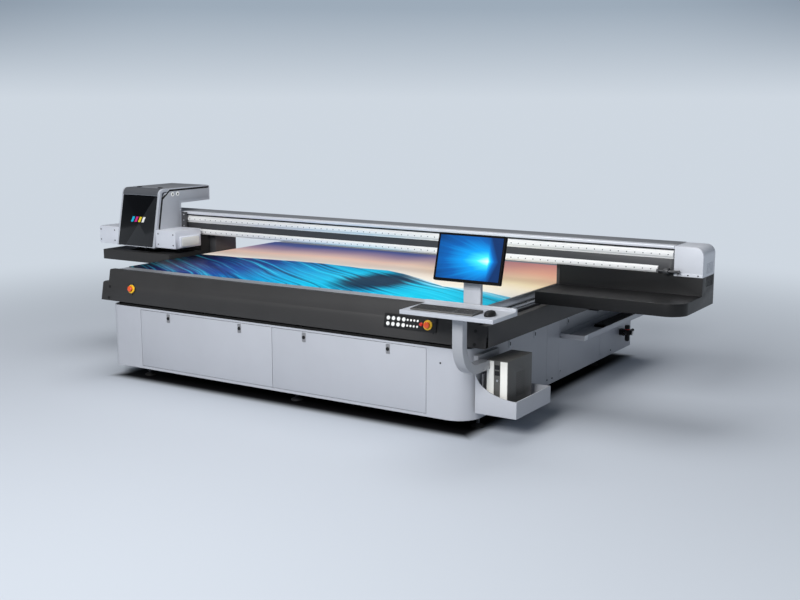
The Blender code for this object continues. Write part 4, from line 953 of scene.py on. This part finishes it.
def cover():
    """Front cover: fine rounded top edge, recessed glass and four slanted ink bars as its only mark."""
    (x0, x1), (y0, _), (z0, z1) = place("front_cover")
    hinge_y, thick, radius = 0.965, 0.028, 0.055
    heel_y, heel_z = 0.866, 1.372
    slope = math.atan2(heel_y - y0, heel_z - (z0 + 0.005))
    lean = math.degrees(slope)
    centre = (heel_y + radius, z1 - radius)
    outer = [(y0, z0)] + arc(centre, radius, 180 - lean, 90, 24) + [(hinge_y, z1)]
    inner = [(hinge_y, z1 - thick)] + arc(centre, radius - thick, 90, 180 - lean, 16) + [(y0 + thick, z0)]
    face = Matrix.Translation((0, y0, z0)) @ Matrix.Rotation(-slope, 4, "X")
    window = rounded_rect((x0 + 0.014, x1 - 0.024), (0.006, 0.452), 0.008)
    shell = cut(prism(outer + inner, "X", x0, x1), moved(prism(window, "Y", -0.05, 0.006), face))
    add(shell, "cover_shell", "cover", "silver", ["front_cover"], edge=0.0022, steps=3)
    pane = prism(rounded_rect((x0 + 0.015, x1 - 0.025), (0.007, 0.451), 0.007), "Y", 0.0008, 0.0057)
    add(moved(pane, face), "cover_pane", "cover", ("pane", "gloss_black"), ["cover_glass"], edge=0.0006)

    def over_the_top(offset, back_z):
        """Line over the rounded top edge, from where it meets the leaning face to the hinge."""
        return arc(centre, radius + offset, 180 - lean, 90, 20) + [(hinge_y - 0.001, back_z)]

    proud, sunk = 0.0009, 0.002
    top_y, top_z = arc(centre, radius, 180 - lean, 90, 20)[0]
    low_z = z0 + 0.4545 * math.cos(slope)
    low_y = y0 + (top_y - y0) * (low_z - z0) / (top_z - z0)
    band = [(low_y - proud, low_z)] + over_the_top(proud, z1 + proud)
    band += over_the_top(-sunk, z1 - sunk)[::-1] + [(low_y + sunk, low_z)]
    add(prism(band, "X", x0 + 0.014, x1 - 0.024), "cover_top_band", "cover", ("band_grey", "silver"))
    first = (x0 + x1) / 2 - 0.087
    inks = (("ink_cyan", "ink_cyan"), ("ink_magenta", "ink_magenta"), ("ink_yellow", "ink_yellow"),
            ("ink_white", "button_white"))
    for k, (name, paint) in enumerate(inks):
        left = first + 0.042 * k
        bar = [(left, 0.215), (left + 0.026, 0.215), (left + 0.044, 0.262), (left + 0.018, 0.262)]
        add(moved(prism(bar, "Y", 0.0002, 0.0012), face), "emblem_" + name, "cover", (paint, "button_white"))


def lamps():
    for side, edge in (("right", 0.0035), ("left", 0.0030)):
        (x0, x1), (y0, y1), (z0, z1) = place("uv_lamp_" + side)
        # Lighter copy of the silver paint on the lamp shells: painted light.
        skin("uv_lamp_" + side, f"lamp_{side}_shell", "carriage", ("lamp_silver_lit_copy", "silver"),
             edge=edge, steps=3)
        tube = rod(0.014, 0, x1 - x0 - 0.06)
        add(moved(tube, along((1, 0, 0), (x0 + 0.03, (y0 + y1) / 2, z0 + 0.045))), "lamp_tube_" + side,
            "carriage", ("ivory", "button_white"), edge=0.001)
        spots = [(x, y0, z) for x in (x0 + 0.030, x1 - 0.045) for z in (z0 + 0.03, z1 - 0.03)]
        add(screw_heads(spots, (0, -1, 0), 0.0055), "lamp_screws_" + side, "carriage", "black_plastic")
    outside = place("uv_lamp_right")[0][1]
    outline = rounded_rect((0.860, 1.075), (0.952, 1.028), 0.020, 8)
    plate = prism(outline, "X", outside - 0.001, outside + 0.0035)
    add(plate, "lamp_side_plate", "carriage", ("ivory", "button_white"), edge=0.0015)
    fitting = turned([(0, -0.001), (0.014, -0.001), (0.014, 0.003), (0.009, 0.0045), (0, 0.005)])
    add(moved(fitting, along((-1, 0, 0), (place("uv_lamp_left")[0][0], 0.920, 1.020))), "lamp_left_fitting",
        "carriage", "black_plastic")


def tanks():
    (left, _), (y0, y1), (_, top) = place("ink_tanks")
    skin("ink_tanks", "tank_bodies", "carriage", "tank", edge=0.004, steps=3)
    cap = turned([(0, 0), (0.014, 0), (0.014, 0.008), (0.012, 0.010), (0, 0.010)])
    cap = moved(cap, Matrix.Translation((left + 0.035, (y0 + y1) / 2, top - 0.0005)))
    add(copies(cap, row((0.066, 0, 0), 6)), "tank_caps", "carriage", "black_plastic", edge=0.001)


# ---------------------------------------------------------------- right side of the cabinet
def trough():
    (_, x1), (y0, _), (z0, z1) = place("cable_trough")
    skin("cable_trough", "trough_skin", "base", "light_panel", edge=0.0015)
    # Brighter strip on the trough's front corner: painted highlight.
    corner = box((x1 - 0.0005, x1 + 0.003), (y0, y0 + 0.06), (z0 + 0.002, z1))
    add(corner, "trough_corner", "base", ("silver_highlight", "silver"), edge=0.001)
    (a, b), _, _ = place("y_drag_chain")
    link = prism(rounded_rect((-0.0135, 0.0135), (-0.0115, 0.0115), 0.004, 3), "X", a + 0.001, b - 0.001)
    link = cut(link, box((a + 0.006, b - 0.006), (-0.05, 0.05), (-0.0085, 0.0085)))
    add(copies(link, chain_places()), "drag_chain_links", "base", "black_plastic", ["y_drag_chain"])


def chain_places():
    """Places of the drag chain's links: along its lower run, round its loop and back along its upper run."""
    thick, radius, loop_y, pitch = 0.024, 0.080, 2.600, 0.030
    lower_start, upper_end = 1.95, 1.78
    centre_z = place("y_drag_chain")[2][0] + radius + thick / 2
    path = [(lower_start + pitch * (k + 0.5), centre_z - radius, 0.0)
            for k in range(int((loop_y - lower_start) / pitch))]
    bends = int(math.pi * radius / pitch)
    for angle in [math.pi * (k + 0.5) / bends for k in range(bends)]:
        path.append((loop_y + radius * math.sin(angle), centre_z - radius * math.cos(angle), angle))
    path += [(loop_y - pitch * (k + 0.5), centre_z + radius, math.pi)
             for k in range(int((loop_y - upper_end) / pitch))]
    return [Matrix.Translation((0, y, z)) @ Matrix.Rotation(angle, 4, "X") for y, z, angle in path]


def regulator():
    (_, x1), (y0, _), _ = place("regulator_body")
    skin("regulator_body", "regulator_skin", "base", "black_plastic", edge=0.0010)
    x, y, dial_z = 1.700, 2.650, 0.2585
    at = Matrix.Translation((x, y, 0))
    low, high = place("regulator_knob")[2]
    knob = turned([(0, low), (0.0175, low), (0.0180, low + 0.006), (0.0215, low + 0.008),
                   (0.0218, high - 0.008), (0.019, high - 0.001), (0.017, high), (0, high)], 48)
    knob = cut(knob, spokes(24, (0.0205, 0.03), 0.0009, (low + 0.01, high)))
    add(moved(knob, at), "regulator_grip", "regulator_knob", "black_plastic", ["regulator_knob"])
    ring = moved(washer(0.0175, 0.0230, low + 0.0005, low + 0.0050), at)
    add(ring, "regulator_ring", "regulator_knob", ("lens_red", "estop_red"), edge=0.0005)
    dial = moved(rod(0.0165, 0.0, 0.0008), along((1, 0, 0), (x1, y + 0.001, dial_z)))
    add(dial, "gauge_dial", "base", "button_white")
    needle = box((x1 + 0.0007, x1 + 0.0014), (y + 0.0002, y + 0.0018), (dial_z, dial_z + 0.013))
    add(needle, "gauge_needle", "base", ("lens_red", "estop_red"))
    fitting = turned([(0, 0), (0.012, 0), (0.012, 0.010), (0.008, 0.012), (0.008, 0.026), (0.0065, 0.028),
                      (0, 0.028)], 6)
    add(moved(fitting, along((0, -1, 0), (x, y0 + 0.028, 0.258))), "air_fitting", "base",
        ("brass", "rail_steel"), edge=0.0006)


def insides():
    skin("base_frame", "frame_skin", "base", "frame_steel", edge=0.0020)
    skin("vacuum_blower", "blower_skin", "base", "bed_alu", edge=0.0025)
    skin("electronics_box", "electronics_skin", "base", "light_panel", edge=0.0012)
    (left, _), (_, back), _ = place("electronics_box")
    drives = []
    for k in range(4):
        x = left + 0.04 + 0.16 * k
        drives.append(box((x, x + 0.12), (back - 0.12, back - 0.011), (0.16 + 0.02 * (k % 2), 0.44)))
    add(joined(*drives), "motor_drives", "base", "black_plastic", edge=0.002)


# ---------------------------------------------------------------- operator station
def station():
    x0, x1 = place("keyboard_tray")[0]
    skin("keyboard_tray", "tray_skin", "base", "silver", edge=0.0030, steps=3)
    # Brighter strip on the lip's edge: painted highlight.
    lip = box((x0 + 0.004, x1 - 0.004), (-0.0815, -0.0605), (0.9145, 0.9162))
    add(lip, "tray_lip_edge", "base", ("silver_highlight", "silver"), edge=0.0006)
    arm_piece()
    keyboard()
    mouse()
    shelf()
    computer()
    monitor()


def arm_piece():
    ax, ay, bend_z, radius = (1.655, 1.730), (-0.260, -0.200), 0.680, 0.220
    arm_end, corner_r = 0.110, 0.170
    top = place("keyboard_tray")[2][0] - GAP
    wall = place("cabinet_shell")[0][1] + GAP
    thick = ay[1] - ay[0]
    low = bend_z - radius
    centre = (ay[0] + radius, bend_z)
    outline = [(ay[1], top), (ay[0], top)] + arc(centre, radius, 180, 270, 36)
    outline += [(arm_end, low), (arm_end, low + thick)] + arc(centre, radius - thick, 270, 180, 30)
    plate = box((wall, ax[0] + 0.015), (0.060, 0.360), (0.450, 0.550))
    clear = [(wall - corner_r, 0.5), (wall - corner_r, 0.0)]
    clear += arc((wall - corner_r, corner_r), corner_r, 270, 360, 24) + [(wall, 0.5)]
    arm = union(prism(outline, "X", *ax), cut(plate, prism(clear, "Z", 0.40, 0.60)))
    add(arm, "station_arm_skin", "base", ("arm_paint", "silver"), ["station_arm"], edge=0.0025, steps=3)
    # Brighter block at the arm's end: painted light on its face.
    block = box((ax[0] + 0.010, ax[1] - 0.008), (arm_end + 0.0005, arm_end + 0.020),
                (low + 0.010, low + 0.050))
    add(block, "arm_end_block", "base", ("silver_highlight", "silver"), edge=0.003)


def key_cap(corner, width, depth):
    """One key with sloping sides, from the low left corner of its foot."""
    x, y, z = corner
    foot = rounded_rect((x + 0.001, x + width - 0.001), (y, y + depth), 0.002, 2)
    top = rounded_rect((x + 0.0025, x + width - 0.0025), (y + 0.0015, y + depth - 0.0015), 0.0018, 2)
    bm = bmesh.new()
    rings = [[bm.verts.new((u, v, h)) for u, v in loop] for loop, h in ((foot, z), (top, z + 0.0045))]
    for ring in rings:
        bm.faces.new(ring)
    for i in range(len(foot)):
        j = (i + 1) % len(foot)
        bm.faces.new((rings[0][i], rings[0][j], rings[1][j], rings[1][i]))
    return from_bmesh(bm)


def keyboard():
    (x0, x1), (y0, y1), (z0, z1) = place("keyboard")
    case = prism([(y0, z0), (y1, z0), (y1, z1 - 0.002), (y1 - 0.010, z1 - 0.001), (y0 + 0.004, z0 + 0.009),
                  (y0, z0 + 0.007)], "X", x0, x1)
    add(case, "keyboard_case", "base", ("pc_dark", "black_plastic"), ["keyboard"], edge=0.0015)
    pitch, width, depth, space_bar = 0.0190, 0.0165, 0.0145, 6
    main_left, cursor_left, number_left = 0.012, 0.305, 0.366
    rise = (z1 - 0.001 - (z0 + 0.009)) / ((y1 - 0.010) - (y0 + 0.004))
    keys = []
    for line in range(6):
        y = y0 + 0.013 + line * pitch
        z = z0 + 0.009 + (y + 0.0085 - y0 - 0.004) * rise - 0.001
        columns = [main_left + k * pitch for k in range(15) if line or not 3 < k < 10]
        columns += [cursor_left + k * pitch for k in range(3)] + [number_left + k * pitch for k in range(4)]
        keys += [key_cap((x0 + column, y, z), width, depth) for column in columns]
        if line == 0:
            keys.append(key_cap((x0 + main_left + 4 * pitch, y, z), space_bar * pitch - 0.0025, depth))
    add(joined(*keys), "keyboard_keys", "base", ("key_grey", "black_plastic"))


def mouse():
    (x0, x1), (y0, y1), (z0, z1) = place("mouse")
    profile = [(0, 0), (0.88, 0), (0.97, 0.06), (1.0, 0.20), (0.98, 0.40), (0.90, 0.62), (0.76, 0.80),
               (0.55, 0.93), (0.28, 0.99), (0, 1.0)]
    scale = Matrix.Diagonal(((x1 - x0) / 2, (y1 - y0) / 2, z1 - z0, 1))
    shape = moved(turned(profile, 48), Matrix.Translation(((x0 + x1) / 2, (y0 + y1) / 2, z0)) @ scale)
    add(shape, "mouse_shell", "base", "black_plastic", ["mouse"])
    wheel = moved(rod(0.009, -0.0035, 0.0035), along((1, 0, 0), ((x0 + x1) / 2, y1 - 0.030, z1 - 0.0095)))
    add(wheel, "mouse_wheel", "base", "rubber", edge=0.0008)


def shelf():
    (x0, x1), (y0, y1), (z0, _) = place("pc_shelf")
    lip, horn_top, t = 0.270, 0.435, 0.006
    horn = []
    for i in range(41):
        angle = math.radians(90 * i / 40)
        horn.append((x1 - (x1 - x0) * math.cos(angle), lip + (horn_top - lip) * (1 - math.sin(angle))))
    front = prism([(x1, z0), (x0, z0)] + horn, "Y", y0, y0 + t)
    rest = [box((x0, x1), (y0 + 0.002, y1), (z0, z0 + t)), box((x1 - t, x1), (y0 + 0.002, y1), (z0, lip)),
            box((x0, x0 + t), (0.180, y1), (z0, 0.400)), box((x0, x1), (y1 - t, y1), (z0, lip))]
    add(union(front, *rest), "shelf_skin", "base", "light_panel", ["pc_shelf"], edge=0.0015)
    # Brighter strip on the shelf wall's top edge: painted highlight.
    edge = box((x1 - t + 0.0002, x1 - 0.0002), (y0 + 0.008, y1 - 0.008), (lip - 0.001, lip + 0.0012))
    add(edge, "shelf_edge", "base", ("silver_highlight", "silver"), edge=0.0004)


def computer():
    x, y, z = place("pc_tower")
    vent = box((x[1] - 0.002, x[1] + 0.01), (y[0] + 0.120, y[0] + 0.128), (z[0] + 0.100, z[0] + 0.106))
    vents = copies(copies(vent, row((0, 0.014, 0), 9)), row((0, 0, 0.012), 14))
    add(cut(box(x, y, z), vents), "tower_case", "base", "pc_dark", ["pc_tower"],
        edge=0.0030, steps=3)
    strips = [box((left, left + 0.052), (y[0] - 0.005, y[0] + 0.001), (z[0] + 0.004, z[1] - 0.004))
              for left in (x[0] + 0.003, x[1] - 0.055)]
    add(joined(*strips), "tower_front_strips", "base", ("ivory", "button_white"), edge=0.0020)
    middle = (x[0] + 0.060, x[1] - 0.060)
    bays = [box(middle, (y[0] - 0.003, y[0] + 0.001), (h, h + 0.030)) for h in (z[1] - 0.06, z[1] - 0.10)]
    add(joined(*bays), "tower_drive_bays", "base", "black_plastic", edge=0.0015)
    foot = box(middle, (y[0] - 0.0025, y[0] + 0.001), (z[0] + 0.030, z[0] + 0.110))
    add(foot, "tower_blue_panel", "base", ("ink_cyan", "pc_dark"), edge=0.0010)
    power = turned([(0, -0.001), (0.008, -0.001), (0.008, 0.002), (0.006, 0.0035), (0, 0.0035)])
    add(moved(power, along((0, -1, 0), (sum(x) / 2, y[0] - 0.0005, z[1] - 0.135))), "tower_power_button",
        "base", "rail_steel")


def monitor():
    centre = Vector((1.682, -0.085, 1.210))
    w, h, t = 0.240, 0.155, 0.014
    at = Matrix.Translation(centre) @ Matrix.Rotation(math.radians(-15), 4, "X")
    case = prism(rounded_rect((-w, w), (-h, h), 0.008), "Y", -t, t)
    recess = box((-w + 0.014, w - 0.014), (-0.1, -t + 0.0015), (-h + 0.018, h - 0.014))
    boss = prism(rounded_rect((-0.055, 0.055), (-0.060, 0.040), 0.008), "Y", t - 0.003, t + 0.008)
    slots = copies(box((-0.12, 0.12), (t - 0.002, t + 0.01), (0.075, 0.079)), row((0, 0, 0.012), 4))
    case, recess, boss, slots = [moved(piece, at) for piece in (case, recess, boss, slots)]
    add(cut(union(case, boss), recess, slots), "monitor_case", "monitor", ("bezel_black", "black_plastic"),
        ["monitor"], edge=0.0015)
    panel = box((-w + 0.0145, w - 0.0145), (-t + 0.0005, -t + 0.0012), (-h + 0.0185, h - 0.0145))
    add(moved(panel, at), "monitor_screen", "monitor", ("screen", "gloss_black"))


# ---------------------------------------------------------------- build
def main():
    camera()
    studio()
    floor()
    cabinet()
    doors()
    feet()
    skirts()
    controls()
    bed()
    gantry()
    carriage()
    trough()
    regulator()
    insides()
    station()


main()
